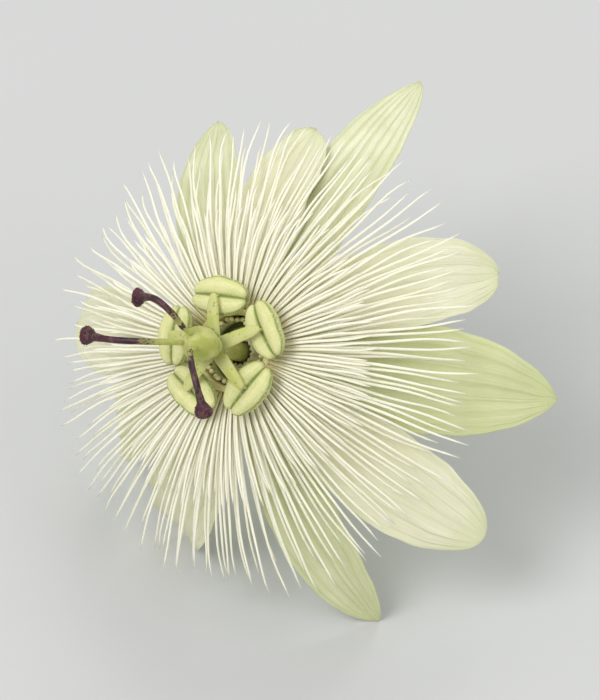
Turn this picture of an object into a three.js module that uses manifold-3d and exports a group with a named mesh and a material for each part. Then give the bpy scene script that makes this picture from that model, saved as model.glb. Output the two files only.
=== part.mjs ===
// A white passion flower, picked with its own stalk and lying on a surface.
// Millimetres and degrees. In the flower's own frame the middle of the cup's rim is the
// origin, +Z points out of the face of the flower, and angles run anticlockwise from +X.

import * as THREE from 'three';
import { LoftGeometry } from 'three/addons/geometries/LoftGeometry.js';
import { mergeVertices } from 'three/addons/utils/BufferGeometryUtils.js';
import Module from 'manifold-3d';

const wasm = await Module();
wasm.setup();

// ---------------------------------------------------------------- driving dimensions

const SEAT = 0.3; // running gap between pieces that touch on the flower

// How the flower lies: its axis is raised off the surface and it is turned about that axis
const AXIS_RISE = 44;
const TURN = 26;

const CUP = { rim: 9.0, lip: 7.1, depth: 4.2, wall: 2.3, foot: 2.2, ribs: 10, ribHeight: 0.22 };

// Tepals: pitch is the slope against the plane of the face, bend is the change of slope
// from base to tip, curl is a bend that comes late, near the tip.
const TEPAL = { pitch: -12, bend: -34 };
const SEPAL = { start: CUP.rim + SEAT, height: -1.35, thickness: 1.1, keel: 0.9, hornAt: 0.86 };
const PETAL = { start: 8.4, height: 0.7, thickness: 0.8 };

// angle and drift: where the blade leaves the cup, and how far its tip swings aside.
// twist raises the blade's anticlockwise edge above the other one.
const SEPALS = [
  { angle: -7, drift: 0, length: 41, width: 17.0, curl: 2, cup: 0.08, horn: 4.0 },
  { angle: 66, drift: 4, length: 46.5, width: 12.0, curl: -3, cup: 0.06, horn: 4.6 },
  { angle: 117, drift: -5, length: 39.5, width: 12.0, curl: -2, cup: 0.04, horn: 4.2 },
  { angle: 205, drift: -9, length: 35, width: 13.0, curl: -34, cup: 0.08, horn: 3.8 },
  { angle: 285.5, drift: 5, length: 41.15, width: 11.5, curl: -10.6, cup: 0.24, horn: 4.4 },
];
const PETALS = [
  { angle: 28, drift: -8, length: 36, width: 14.5, curl: -13, twist: -0.14, cup: 0.14, wave: 0.5 },
  { angle: 91, drift: -13, length: 31, width: 12.5, curl: 21, twist: -0.12, cup: 0.12, wave: 0.4 },
  { angle: 172, drift: -2, length: 36.5, width: 14.0, curl: -2, twist: 0, cup: 0.08, wave: 0.8 },
  { angle: 246, drift: -17, length: 34.5, width: 14.0, curl: -29, twist: -0.12, cup: 0.16, wave: 0.4 },
  { angle: 318.5, drift: 3, length: 40.5, width: 15.0, curl: 3, twist: 0, cup: 0.1, wave: 0.7 },
];

// Ranks of filaments: a ring in the throat of the cup, and the filaments that stand out of it
const OUTER_RANK = {
  ring: [6.85, 8.05],
  foot: [SEAT, SEAT],
  top: 2.4,
  count: 84,
  root: { r: 7.4, z: 1.9 },
  length: 31,
  pitch: 2,
  bend: -38,
  width: [0.5, 0.7, 0.44],
};
const INNER_RANK = {
  ring: [5.6, 6.6],
  foot: [-0.5, 0],
  top: 4.0,
  count: 66,
  root: { r: 5.95, z: 3.4 },
  length: 19,
  pitch: 16,
  bend: -34,
  width: [0.48, 0.62, 0.42],
};
const SHORT_RANK = { ring: [4.85, 5.35], foot: [-1.1, -0.8], top: 1.3, count: 34, stem: 2.6 };

const OPERCULUM = { foot: 4.45, footAt: -1.7, mouth: 2.3, mouthAt: 1.6, thickness: 0.6, pleats: 15 };

const COLUMN = { radius: 1.5, flare: 2.3, foot: -CUP.depth + SEAT, top: 10.8 };
const STRAP = { reach: 7.9, width: [2.6, 1.8], thickness: 0.8, drop: -8 };
const STAMEN_ANGLES = [20, 93, 166, 235, 309];
const ANTHER = { length: 9.5, width: 6.2, height: 2.5 };
const ANTHER_SET = [
  { yaw: 6, roll: -10 },
  { yaw: -9, roll: 6 },
  { yaw: 8, roll: 9 },
  { yaw: -5, roll: -4 },
  { yaw: 10, roll: 8 },
];

const OVARY = { radius: 2.8, foot: COLUMN.top + SEAT, length: 7.2 };
const STYLE = { root: 1.35, rise: 5.0, radius: 0.5, stigma: 1.45 };
// Each style leaves the ovary at an angle and swings aside from it by the time it ends
const STYLES = [
  { angle: 186, swing: -9, reach: 15.6 },
  { angle: 84, swing: 57, reach: 9.0 },
  { angle: -46, swing: -21, reach: 11.6 },
];

const BRACTS = [
  { angle: 38, length: 21, width: 13.5 },
  { angle: 156, length: 20, width: 14.0 },
  { angle: 274, length: 22, width: 13.0 },
];
const BRACT = { at: -11.4, thickness: 0.8, pitch: -38, bend: 28 };

const STALK = { radius: 1.35, neck: 2.0, node: 1.55, sides: 10, lie: 0.72 };
const STALK_END = { x: -3.5, y: 39.5 }; // where its cut end lies, from under the cup's rim

// ---------------------------------------------------------------- finishes

const finish = (color, roughness) => new THREE.MeshStandardMaterial({ color, roughness, metalness: 0 });

const PETAL_FINISH = finish(0xe6e7c9, 0.55);
const SEPAL_FINISH = finish(0xdfe3bd, 0.55);
const CORONA_FINISH = finish(0xeeecd6, 0.5);
const SHORT_CORONA_FINISH = finish(0xe2dfbd, 0.5);
const CUP_FINISH = finish(0x9fb565, 0.5);
const OPERCULUM_FINISH = finish(0xcec99f, 0.5);
const COLUMN_FINISH = finish(0xa9b96b, 0.45);
const ANTHER_FINISH = finish(0xc9ca82, 0.7);
const OVARY_FINISH = finish(0x8fa653, 0.4);
const STYLE_FINISH = finish(0x4a2138, 0.4);
const BRACT_FINISH = finish(0x86ab55, 0.5);
const STALK_FINISH = finish(0x7d9a48, 0.5);

// ---------------------------------------------------------------- helpers

const { sin, cos, PI } = Math;
const rad = THREE.MathUtils.degToRad;
const mix = THREE.MathUtils.lerp;
const smooth = THREE.MathUtils.smoothstep;
const range = (n) => Array.from({ length: n }, (_, i) => i);

// A repeatable draw between -1 and 1 for item i of a series
function draw(i, series) {
  const value = sin(i * 12.9898 + series * 78.233) * 43758.5453;
  return 2 * (value - Math.floor(value)) - 1;
}

// A value that runs through three figures from one end of a piece to the other
const through = ([first, middle, last], u) =>
  u < 0.5 ? mix(first, middle, smooth(u, 0, 0.5)) : mix(middle, last, smooth(u, 0.5, 1));

function signedVolume(geometry) {
  const place = geometry.attributes.position;
  const index = geometry.index.array;
  const corner = [0, 1, 2].map(() => new THREE.Vector3());
  let sum = 0;
  for (let i = 0; i < index.length; i += 3) {
    corner.forEach((point, k) => point.fromBufferAttribute(place, index[i + k]));
    sum += corner[0].dot(corner[1].cross(corner[2])) / 6;
  }
  return sum;
}

// One closed body with shared vertices and its faces outward
function closed(geometry) {
  geometry.deleteAttribute('normal');
  geometry.deleteAttribute('uv');
  const body = mergeVertices(geometry, 1e-4);
  if (signedVolume(body) < 0) {
    body.index.array.reverse();
  }
  body.computeVertexNormals();
  return body;
}

function toSolid(geometry) {
  const body = closed(geometry);
  return new wasm.Manifold(new wasm.Mesh({
    numProp: 3,
    vertProperties: new Float32Array(body.attributes.position.array),
    triVerts: new Uint32Array(body.index.array),
  }));
}

function fromSolid(solid) {
  const mesh = solid.getMesh();
  const geometry = new THREE.BufferGeometry();
  geometry.setAttribute('position', new THREE.BufferAttribute(mesh.vertProperties, 3));
  geometry.setIndex(new THREE.BufferAttribute(mesh.triVerts, 1));
  return closed(geometry);
}

const fuse = (geometries) => fromSolid(wasm.Manifold.union(geometries.map(toSolid)));

// A skin through cross sections with the same number of points, capped at both ends
const loft = (sections) => new THREE.BufferGeometry().copy(
  new LoftGeometry(sections, { capStart: true, capEnd: true }),
);

// A body of revolution about Z from points given as [radius, height]
function turned(profile, segments) {
  const points = profile.map(([r, z]) => new THREE.Vector2(r, z));
  return new THREE.LatheGeometry(points, segments).rotateX(PI / 2);
}

// Moves every point by a rule that takes and returns cylindrical radius, angle and height
function reshape(geometry, rule) {
  const place = geometry.attributes.position;
  for (let i = 0; i < place.count; i += 1) {
    const angle = Math.atan2(place.getY(i), place.getX(i));
    const r = Math.hypot(place.getX(i), place.getY(i));
    const [newR, newAngle, newZ] = rule(r, angle, place.getZ(i));
    place.setXYZ(i, newR * cos(newAngle), newR * sin(newAngle), newZ);
  }
  return geometry;
}

const polar = (r, angle, z) => new THREE.Vector3(r * cos(rad(angle)), r * sin(rad(angle)), z);

// Stations along a line that starts at a point and runs on with a pitch and a heading,
// both in degrees and given as rules of u from 0 to 1. Each has a tangent, a side and a face.
function midline(start, length, us, pitchAt, headingAt) {
  const at = start.clone();
  return us.map((u, i) => {
    if (i > 0) {
      const middle = (u + us[i - 1]) / 2;
      at.addScaledVector(direction(pitchAt(middle), headingAt(middle)), length * (u - us[i - 1]));
    }
    const along = direction(pitchAt(u), headingAt(u));
    const side = new THREE.Vector3(-sin(rad(headingAt(u))), cos(rad(headingAt(u))), 0);
    const face = new THREE.Vector3().crossVectors(along, side);
    return { u, at: at.clone(), along, side, face };
  });
}

function direction(pitch, heading) {
  const level = cos(rad(pitch));
  return new THREE.Vector3(level * cos(rad(heading)), level * sin(rad(heading)), sin(rad(pitch)));
}

// A point beside a station: across it, and out of its face
const beside = (station, across, out) =>
  station.at.clone().addScaledVector(station.side, across).addScaledVector(station.face, out);

// An oval section of a station with the given half width and half height
function oval(station, across, out, sides) {
  return range(sides).map((k) => {
    const turn = (2 * PI * (k + 0.5)) / sides;
    return beside(station, across * cos(turn), out * sin(turn));
  });
}

// ---------------------------------------------------------------- blades

// A closed thin blade from rows of front and back points and a tip that has one of each.
// Both faces are cut along the same diagonals.
function bladeGeometry(rows, tip) {
  const columns = rows[0].front.length;
  const points = [];
  const faces = [];
  rows.forEach((row) => points.push(...row.front, ...row.back));
  points.push(tip.front, tip.back);
  const front = (i, j) => i * 2 * columns + j;
  const back = (i, j) => front(i, j) + columns;
  const quad = (a, b, c, d) => faces.push(a, b, c, a, c, d);
  const last = columns - 1;
  for (let i = 0; i < rows.length - 1; i += 1) {
    for (let j = 0; j < last; j += 1) {
      quad(front(i, j), front(i + 1, j), front(i + 1, j + 1), front(i, j + 1));
      faces.push(back(i, j), back(i + 1, j + 1), back(i + 1, j));
      faces.push(back(i, j), back(i, j + 1), back(i + 1, j + 1));
    }
    quad(front(i, 0), back(i, 0), back(i + 1, 0), front(i + 1, 0));
    quad(front(i, last), front(i + 1, last), back(i + 1, last), back(i, last));
  }
  const end = rows.length - 1;
  const tipFront = points.length - 2;
  const tipBack = points.length - 1;
  for (let j = 0; j < last; j += 1) {
    quad(front(0, j), front(0, j + 1), back(0, j + 1), back(0, j));
    faces.push(front(end, j), tipFront, front(end, j + 1));
    faces.push(back(end, j), back(end, j + 1), tipBack);
  }
  quad(front(end, 0), back(end, 0), tipBack, tipFront);
  quad(front(end, last), tipFront, tipBack, back(end, last));
  const geometry = new THREE.BufferGeometry().setFromPoints(points);
  geometry.setIndex(faces);
  return closed(geometry);
}

// Share of the full width along a blade: a base, a widest place and a pointed or blunt end
function outlineAt(u, { base, widest, bluntness }) {
  if (u < widest) {
    return mix(base, 1, sin((PI / 2) * (u / widest)));
  }
  const beyond = (u - widest) / (1 - widest);
  return Math.pow(1 - Math.pow(beyond, 2.2), 1 / bluntness);
}

// Stations close up toward the tip, where the outline turns fast
const bladeStations = (n) => range(n + 1).map((i) => 1 - Math.pow(1 - i / n, 1.45));

// A leaf-like blade. liftAt(u, v, halfWidth) raises it out of its middle line, extraAt(u, v)
// thickens its back, and rim is the radius of the round foot that its base follows.
function leafBlade({ start, length, width, thickness, outline, pitchAt, headingAt, across, steps,
  liftAt, extraAt, rim }) {
  const stations = midline(start, length, bladeStations(steps), pitchAt, headingAt);
  const half = thickness / 2;
  const tipStation = stations.pop();
  const rows = stations.map((station) => {
    const halfWidth = (width / 2) * outlineAt(station.u, outline);
    const row = { front: [], back: [] };
    across.forEach((v) => {
      const aside = v * halfWidth;
      const lift = liftAt(station.u, v, halfWidth);
      const setBack = (rim - Math.sqrt(Math.max(rim * rim - aside * aside, 0)))
        * Math.max(0, 1 - station.u / 0.3);
      const front = beside(station, aside, lift + half).addScaledVector(station.along, -setBack);
      const thick = thickness + extraAt(station.u, v);
      row.front.push(front);
      row.back.push(front.clone().addScaledVector(station.face, -thick));
    });
    return row;
  });
  const tipLift = liftAt(1, 0, 0);
  return bladeGeometry(rows, {
    front: beside(tipStation, 0, tipLift + half),
    back: beside(tipStation, 0, tipLift - half),
  });
}

const tepalPitch = (curl) => (u) => TEPAL.pitch + TEPAL.bend * u + curl * u * u;
const tepalHeading = (angle, drift) => (u) => angle + 2.1 * drift * u;

function sepalGeometry({ angle, drift, length, width, curl, cup, horn }) {
  const steps = 14;
  const hornStation = bladeStations(steps).reduce((best, u) =>
    (Math.abs(u - SEPAL.hornAt) < Math.abs(best - SEPAL.hornAt) ? u : best));
  return leafBlade({
    start: polar(SEPAL.start, angle, SEPAL.height),
    length,
    width,
    thickness: SEPAL.thickness,
    outline: { base: 0.64, widest: 0.46, bluntness: 1.35 },
    pitchAt: tepalPitch(curl),
    headingAt: tepalHeading(angle, drift),
    across: [-1, -0.62, -0.14, 0, 0.14, 0.62, 1],
    steps,
    liftAt: (u, v, halfWidth) => cup * smooth(u, 0.2, 0.9) * v * v * halfWidth,
    // the keel grows along the back and ends in a horn just short of the tip
    extraAt: (u, v) => {
      if (v !== 0) {
        return 0;
      }
      return u === hornStation ? horn : SEPAL.keel * smooth(u, 0, 0.3) * (u < hornStation ? 1 : 0.3);
    },
    rim: SEPAL.start,
  });
}

function petalGeometry({ angle, drift, length, width, curl, twist, cup, wave }) {
  return leafBlade({
    start: polar(PETAL.start, angle, PETAL.height),
    length,
    width,
    thickness: PETAL.thickness,
    outline: { base: 0.44, widest: 0.56, bluntness: 1.9 },
    pitchAt: tepalPitch(curl),
    headingAt: tepalHeading(angle, drift),
    across: [-1, -0.72, -0.36, 0, 0.36, 0.72, 1],
    steps: 14,
    liftAt: (u, v, halfWidth) =>
      cup * smooth(u, 0.1, 0.8) * v * v * halfWidth
      + twist * smooth(u, 0.1, 0.6) * v * halfWidth
      + wave * smooth(u, 0.35, 0.8) * v * v * v * sin(11 * u + angle),
    extraAt: () => 0,
    rim: PETAL.start,
  });
}

function bractGeometry({ angle, length, width }) {
  return leafBlade({
    start: polar(STALK.node + SEAT + 0.25, angle, BRACT.at),
    length,
    width,
    thickness: BRACT.thickness,
    outline: { base: 0.22, widest: 0.5, bluntness: 1.3 },
    pitchAt: (u) => BRACT.pitch + BRACT.bend * u,
    headingAt: () => angle,
    across: [-1, -0.66, -0.33, 0, 0.33, 0.66, 1],
    steps: 11,
    liftAt: (u, v, halfWidth) => 0.3 * smooth(u, 0, 0.5) * v * v * halfWidth,
    extraAt: (u, v) => (v === 0 ? 0.35 * (1 - u) : 0),
    rim: STALK.node + 2,
  });
}

// ---------------------------------------------------------------- corona

const ringProfile = ({ ring, foot, top }) => [
  [ring[0], foot[0]],
  [ring[1], foot[1]],
  [ring[1], top],
  [ring[0], top],
  [ring[0], foot[0]],
];

// One long filament of a rank: it droops along its length and wavers toward its tip
function filamentGeometry(rank, i, series) {
  const angle = (360 / rank.count) * i + 0.25 * draw(i, series);
  const lean = 2.2 * draw(i, series + 1);
  const droop = 4 * draw(i, series + 2);
  const phase = 180 * draw(i, series + 3);
  const waver = (u) => 7 * u * u * sin(rad(phase) + 9 * u);
  const stations = midline(
    polar(rank.root.r, angle, rank.root.z),
    rank.length * (1 + 0.06 * draw(i, series + 4)),
    [0, 0.36, 0.7, 1],
    (u) => rank.pitch + (rank.bend + droop) * u + waver(u),
    (u) => angle + lean * u + waver(u),
  );
  return loft(stations.map((station) => {
    const half = through(rank.width, station.u) / 2;
    return oval(station, half * 1.25, half * 1.45, 3);
  }));
}

const rankGeometry = (rank, series) => fuse([
  turned(ringProfile(rank), 36),
  ...range(rank.count).map((i) => filamentGeometry(rank, i, series)),
]);

// Short filaments with a round head stand inside the two long ranks
function shortFilamentGeometry(i) {
  const { ring, top, count, stem } = SHORT_RANK;
  const angle = (360 / count) * i + 1.2 * draw(i, 21);
  const length = stem * (1 + 0.18 * draw(i, 22));
  const lean = 96 + 5 * draw(i, 23);
  const stations = midline(
    polar((ring[0] + ring[1]) / 2, angle, top - 0.4),
    length + 0.4,
    [0, 0.62, 0.8, 1],
    () => lean,
    () => angle,
  );
  const halves = [0.24, 0.22, 0.42, 0.24];
  return loft(stations.map((station, k) => oval(station, halves[k], halves[k], 4)));
}

const shortRankGeometry = () => fuse([
  turned(ringProfile(SHORT_RANK), 30),
  ...range(SHORT_RANK.count).map(shortFilamentGeometry),
]);

// ---------------------------------------------------------------- cup and operculum

function cupGeometry() {
  const { rim, lip, depth, foot, wall, ribs, ribHeight } = CUP;
  const base = -depth - wall;
  const profile = [
    [0, base],
    [foot, base],
    [4.3, base + 0.7],
    [6.6, base + 2.1],
    [8.2, base + 3.9],
    [8.9, base + 5.4],
    [rim, -0.3],
    [rim - 0.3, 0],
    [lip, 0],
    [5.5, -0.95],
    [4.8, -1.6],
    [4.3, -2.9],
    [3.4, -depth],
    [0, -depth],
  ];
  const rib = (r, angle, z) => {
    const outside = z < -0.5 && r > foot + 0.1 && r > 8.9 + 0.9 * z;
    return outside ? [r + ribHeight * (cos(ribs * angle) - 1), angle, z] : [r, angle, z];
  };
  return closed(reshape(turned(profile, ribs * 4), rib));
}

// A pleated skirt that leans in from the throat to the foot of the column
function operculumGeometry() {
  const { foot, footAt, mouth, mouthAt, thickness, pleats } = OPERCULUM;
  const steps = 3;
  const outside = range(steps + 1).map((i) => {
    const u = i / steps;
    return [mix(foot, mouth, Math.pow(u, 1.4)), mix(footAt, mouthAt, Math.sqrt(u) * 0.4 + u * 0.6)];
  });
  const inside = outside.map(([r, z]) => [r - thickness * 0.75, z - thickness * 0.75]).reverse();
  const profile = [...outside, ...inside, outside[0]];
  const pleat = (r, angle, z) => {
    const strength = 0.16 * smooth(z, footAt, mouthAt);
    return [r + strength * cos(pleats * angle), angle, z];
  };
  return closed(reshape(turned(profile, pleats * 4), pleat));
}

// ---------------------------------------------------------------- column and stamens

const strapStations = (angle) => midline(
  polar(COLUMN.radius * 0.3, angle, COLUMN.top - 1.05),
  STRAP.reach,
  [0, 0.3, 0.65, 1],
  (u) => 10 + (STRAP.drop - 10) * u,
  () => angle,
);

function columnGeometry() {
  const { radius, flare, foot, top } = COLUMN;
  const stem = turned([
    [0, foot],
    [flare, foot],
    [flare, foot + 0.7],
    [radius * 1.12, foot + 1.7],
    [radius, foot + 3.4],
    [radius * 0.94, top - 3.6],
    [radius * 1.05, top - 1.8],
    [radius * 1.16, top - 0.3],
    [radius, top],
    [0, top],
  ], 20);
  const straps = STAMEN_ANGLES.map((angle) => loft(strapStations(angle).map((station) => {
    const half = mix(STRAP.width[0], STRAP.width[1], station.u) / 2;
    const out = STRAP.thickness / 2;
    return [
      beside(station, -half, -out),
      beside(station, half, -out),
      beside(station, half * 0.8, out),
      beside(station, -half * 0.8, out),
    ];
  })));
  return fuse([stem, ...straps]);
}

// Two long lobes side by side with a groove between them, rounded off at both ends
function antherGeometry() {
  const { length, width, height } = ANTHER;
  const steps = 7;
  const sides = 10;
  return closed(loft(range(steps + 1).map((i) => {
    const x = -cos((PI * (i + 0.35)) / (steps + 0.7));
    const fullness = Math.pow(1 - x * x, 0.4);
    return range(sides).map((k) => {
      const turn = (2 * PI * k) / sides;
      const groove = 1 - 0.2 * Math.pow(Math.abs(sin(turn)), 6);
      return new THREE.Vector3(
        (length / 2) * x,
        (width / 2) * fullness * cos(turn),
        (height / 2) * fullness * groove * sin(turn),
      );
    });
  })));
}

function antherMesh(i) {
  const tip = strapStations(STAMEN_ANGLES[i]).pop();
  const anther = new THREE.Mesh(antherGeometry(), ANTHER_FINISH);
  const { yaw, roll } = ANTHER_SET[i];
  const drop = STRAP.thickness / 2 + SEAT + ANTHER.height / 2 + 0.15;
  anther.name = `anther_${i + 1}`;
  anther.position.copy(beside(tip, 0, -drop));
  anther.rotation.set(rad(roll), 0, rad(STAMEN_ANGLES[i] + 90 + yaw), 'ZYX');
  return anther;
}

// ---------------------------------------------------------------- ovary and styles

function ovaryGeometry() {
  const { radius, foot, length } = OVARY;
  const steps = 9;
  const side = range(steps).map((i) => {
    const u = (i + 0.5) / steps;
    return [radius * Math.pow(sin(PI * Math.pow(u, 0.82)), 0.62), foot + length * u];
  });
  const profile = [[0, foot], [1.2, foot], ...side, [0, foot + length]];
  const furrow = (r, angle, z) => [r * (1 + 0.035 * cos(3 * angle)), angle, z];
  return closed(reshape(turned(profile, 18), furrow));
}

// A style rises from the top of the ovary, arches out and ends in a kidney-shaped stigma.
// Its bow is given as shares of its reach and its rise.
function styleGeometry({ angle, swing, reach }) {
  const { root, rise, radius, stigma } = STYLE;
  const top = OVARY.foot + OVARY.length;
  const bow = [
    [0, -0.08],
    [0.08, 0.42],
    [0.3, 0.86],
    [0.62, 0.98],
    [1, 0.62],
  ];
  const curve = new THREE.CatmullRomCurve3(bow.map(([out, up]) =>
    polar(root + reach * out, angle + swing * out, top + rise * up)));
  const axis = new THREE.Vector3(0, 0, 1);
  const head = [
    [0, 0.8, 0.8],
    [0.24, 1, 1],
    [0.48, 1, 1],
    [0.72, 1.1, 1.05],
    [0.84, 1.35, 1.2],
    [0.9, stigma / radius, 1.75],
    [0.96, stigma / radius, 1.8],
    [1, 1.5, 0.9],
  ];
  return closed(loft(head.map(([u, across, out]) => {
    const at = curve.getPointAt(u);
    const along = curve.getTangentAt(u);
    const side = new THREE.Vector3().crossVectors(axis, along).normalize();
    const face = new THREE.Vector3().crossVectors(along, side);
    return oval({ at, side, face }, radius * across, radius * out, 8);
  })));
}

// ---------------------------------------------------------------- stalk

// Runs straight back from the cup past the bracts, then bends down to its cut end
function stalkGeometry(flowerToRow, groundZ) {
  const back = (z) => new THREE.Vector3(0, 0, z).applyMatrix4(flowerToRow);
  const cupFoot = -CUP.depth - CUP.wall;
  const end = new THREE.Vector3(STALK_END.x, STALK_END.y, groundZ + STALK.radius * STALK.lie);
  const curve = new THREE.CatmullRomCurve3([
    back(cupFoot - SEAT),
    back(cupFoot - SEAT - 3),
    back(BRACT.at),
    back(BRACT.at - 4),
    back(BRACT.at - 20).lerp(end, 0.1),
    end.clone().lerp(back(BRACT.at), 0.2),
    end,
  ], false, 'centripetal');
  const steps = 22;
  const frames = curve.computeFrenetFrames(steps, false);
  const total = curve.getLength();
  return closed(loft(range(steps + 1).map((i) => {
    const u = i / steps;
    const along = u * total;
    const neck = (STALK.neck - STALK.radius) * Math.max(0, 1 - along / 2.6);
    const swelling = (STALK.node - STALK.radius) * Math.exp(-Math.pow((along - 4.9) / 1.6, 2));
    const r = STALK.radius + neck + swelling;
    const station = { at: curve.getPointAt(u), side: frames.normals[i], face: frames.binormals[i] };
    return oval(station, r, r, STALK.sides);
  })));
}

// ---------------------------------------------------------------- assembly

function piece(name, geometry, material) {
  const mesh = new THREE.Mesh(geometry, material);
  mesh.name = name;
  return mesh;
}

const flower = new THREE.Group();
flower.rotation.z = rad(TURN);
flower.add(
  piece('calyx_cup', cupGeometry(), CUP_FINISH),
  ...BRACTS.map((bract, i) => piece(`bract_${i + 1}`, bractGeometry(bract), BRACT_FINISH)),
  ...SEPALS.map((sepal, i) => piece(`sepal_${i + 1}`, sepalGeometry(sepal), SEPAL_FINISH)),
  ...PETALS.map((petal, i) => piece(`petal_${i + 1}`, petalGeometry(petal), PETAL_FINISH)),
  piece('corona_outer_rank', rankGeometry(OUTER_RANK, 1), CORONA_FINISH),
  piece('corona_inner_rank', rankGeometry(INNER_RANK, 11), CORONA_FINISH),
  piece('corona_short_rank', shortRankGeometry(), SHORT_CORONA_FINISH),
  piece('operculum', operculumGeometry(), OPERCULUM_FINISH),
  piece('androgynophore', columnGeometry(), COLUMN_FINISH),
  ...range(STAMEN_ANGLES.length).map(antherMesh),
  piece('ovary', ovaryGeometry(), OVARY_FINISH),
  ...STYLES.map((style, i) => piece(`style_${i + 1}`, styleGeometry(style), STYLE_FINISH)),
);

const tilt = new THREE.Group();
tilt.rotation.x = rad(90 - AXIS_RISE);
tilt.add(flower);

const row = new THREE.Group();
row.add(tilt);
row.updateMatrixWorld(true);
const surface = new THREE.Box3().setFromObject(row, true).min.z;
row.add(piece('stalk', stalkGeometry(flower.matrixWorld, surface), STALK_FINISH));

// The origin is the middle of the underside of the box round the whole part
const box = new THREE.Box3().setFromObject(row, true);
row.position.set(-(box.min.x + box.max.x) / 2, -(box.min.y + box.max.y) / 2, -box.min.z);

export default row;
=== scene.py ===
"""A white passion flower picked with its stalk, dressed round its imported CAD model.

The tables repeat the flower's own sizes in millimetres and degrees. In the flower's own
frame the middle of the cup's rim is the origin, +Z points out of the face of the flower,
and angles run anticlockwise from +X. Every finished piece is in metres, where the CAD is.
"""

import math
from math import cos, radians, sin

import bmesh
import bpy
from bpy.props import FloatProperty, FloatVectorProperty, IntProperty, PointerProperty
from mathutils import Euler, Matrix, Vector
from mathutils.geometry import interpolate_bezier


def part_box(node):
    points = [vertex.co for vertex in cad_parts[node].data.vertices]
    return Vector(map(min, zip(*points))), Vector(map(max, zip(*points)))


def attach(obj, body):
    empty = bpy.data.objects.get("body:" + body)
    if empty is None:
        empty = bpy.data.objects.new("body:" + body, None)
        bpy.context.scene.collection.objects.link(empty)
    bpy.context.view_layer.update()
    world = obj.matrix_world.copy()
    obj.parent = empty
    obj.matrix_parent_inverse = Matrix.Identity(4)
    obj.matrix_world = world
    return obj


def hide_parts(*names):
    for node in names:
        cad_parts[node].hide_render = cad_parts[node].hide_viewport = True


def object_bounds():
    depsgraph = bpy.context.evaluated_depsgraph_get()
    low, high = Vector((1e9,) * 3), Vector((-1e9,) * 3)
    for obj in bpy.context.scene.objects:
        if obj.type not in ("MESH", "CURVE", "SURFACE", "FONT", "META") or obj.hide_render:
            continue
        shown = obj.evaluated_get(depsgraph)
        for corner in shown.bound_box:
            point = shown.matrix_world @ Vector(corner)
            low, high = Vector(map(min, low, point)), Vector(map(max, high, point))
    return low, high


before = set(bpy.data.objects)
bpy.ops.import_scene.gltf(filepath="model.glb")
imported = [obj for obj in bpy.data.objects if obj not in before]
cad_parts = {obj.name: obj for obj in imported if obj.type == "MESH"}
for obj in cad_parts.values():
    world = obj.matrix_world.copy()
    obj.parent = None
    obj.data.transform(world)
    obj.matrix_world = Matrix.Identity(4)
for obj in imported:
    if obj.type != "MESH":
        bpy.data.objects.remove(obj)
cad_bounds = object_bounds()

bl_info = {
    "name": "White Passion Flower",
    "version": (1, 0, 0),
    "blender": (4, 5, 0),
    "location": "View3D > Sidebar > Passion Flower",
    "description": "Makes a white passion flower, piece by piece, round its CAD model",
    "category": "Add Mesh",
}

# ---------------------------------------------------------------- sizes shared with the solids

MM = 0.001

AXIS_RISE = 44  # the flower's axis above the surface
TURN = 26  # the flower's turn about its axis
SEAT = 0.3  # the gap between two pieces that touch on the real flower


def table(columns, *rows):
    """Like pieces, each a dictionary with the columns' names as its keys."""
    return [dict(zip(columns.split(), row)) for row in rows]


CUP = {
    "rim": 9.0, "bevel": 0.3, "lip": 7.1, "depth": 4.2, "wall": 2.3, "foot": 2.2,
    "ribs": 10, "rib_height": 0.22,
}
CUP_BASE = -CUP["depth"] - CUP["wall"]

# A blade starts at a rim with a pitch, bends and curls along its length, and drifts sideways.
TEPAL = {"pitch": -12, "bend": -34}
SEPAL = {
    "rim": CUP["rim"] + SEAT, "height": -1.35, "thickness": 1.1, "keel": 0.9, "horn_at": 0.86,
    "outline": {"base": 0.64, "widest": 0.46, "bluntness": 1.35},
}
SEPALS = table(
    "angle drift length width curl cup horn green",
    (-7, 0, 41, 17.0, 2, 0.08, 4.0, 0.9),
    (66, 4, 46.5, 12.0, -3, 0.06, 4.6, 0.25),
    (117, -5, 39.5, 12.0, -2, 0.04, 4.2, 0.4),
    (205, -9, 35, 13.0, -34, 0.08, 3.8, 0.5),
    (285.5, 5, 41.15, 11.5, -10.6, 0.24, 4.4, 0.6),
)
PETAL = {
    "rim": 8.4, "height": 0.7, "thickness": 0.8,
    "outline": {"base": 0.44, "widest": 0.56, "bluntness": 1.9},
}
PETALS = table(
    "angle drift length width curl twist cup wave",
    (28, -8, 36, 14.5, -13, -0.14, 0.14, 0.5),
    (91, -13, 31, 12.5, 21, -0.12, 0.12, 0.4),
    (172, -2, 36.5, 14.0, -2, 0, 0.08, 0.8),
    (246, -17, 34.5, 14.0, -29, -0.12, 0.16, 0.4),
    (318.5, 3, 40.5, 15.0, 3, 0, 0.1, 0.7),
)
STALK = {
    "radius": 1.35, "neck": 2.0, "neck_length": 3.2, "node": 1.55, "node_at": 5.5,
    "node_length": 1.6, "lie": 0.8,
}
STALK_END = (-3.5, 39.5)  # from the middle of the cup's rim, along the surface
BRACT = {
    "at": -11.4, "start": STALK["node"] + SEAT + 0.25, "rim": STALK["node"] + 2, "thickness": 0.8,
    "thinned_to": 0.34, "pitch": -38, "bend": 28,
    "outline": {"base": 0.22, "widest": 0.5, "bluntness": 1.3},
}
BRACTS = table("angle length width", (38, 21, 13.5), (156, 20, 14.0), (274, 22, 13.0))

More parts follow.
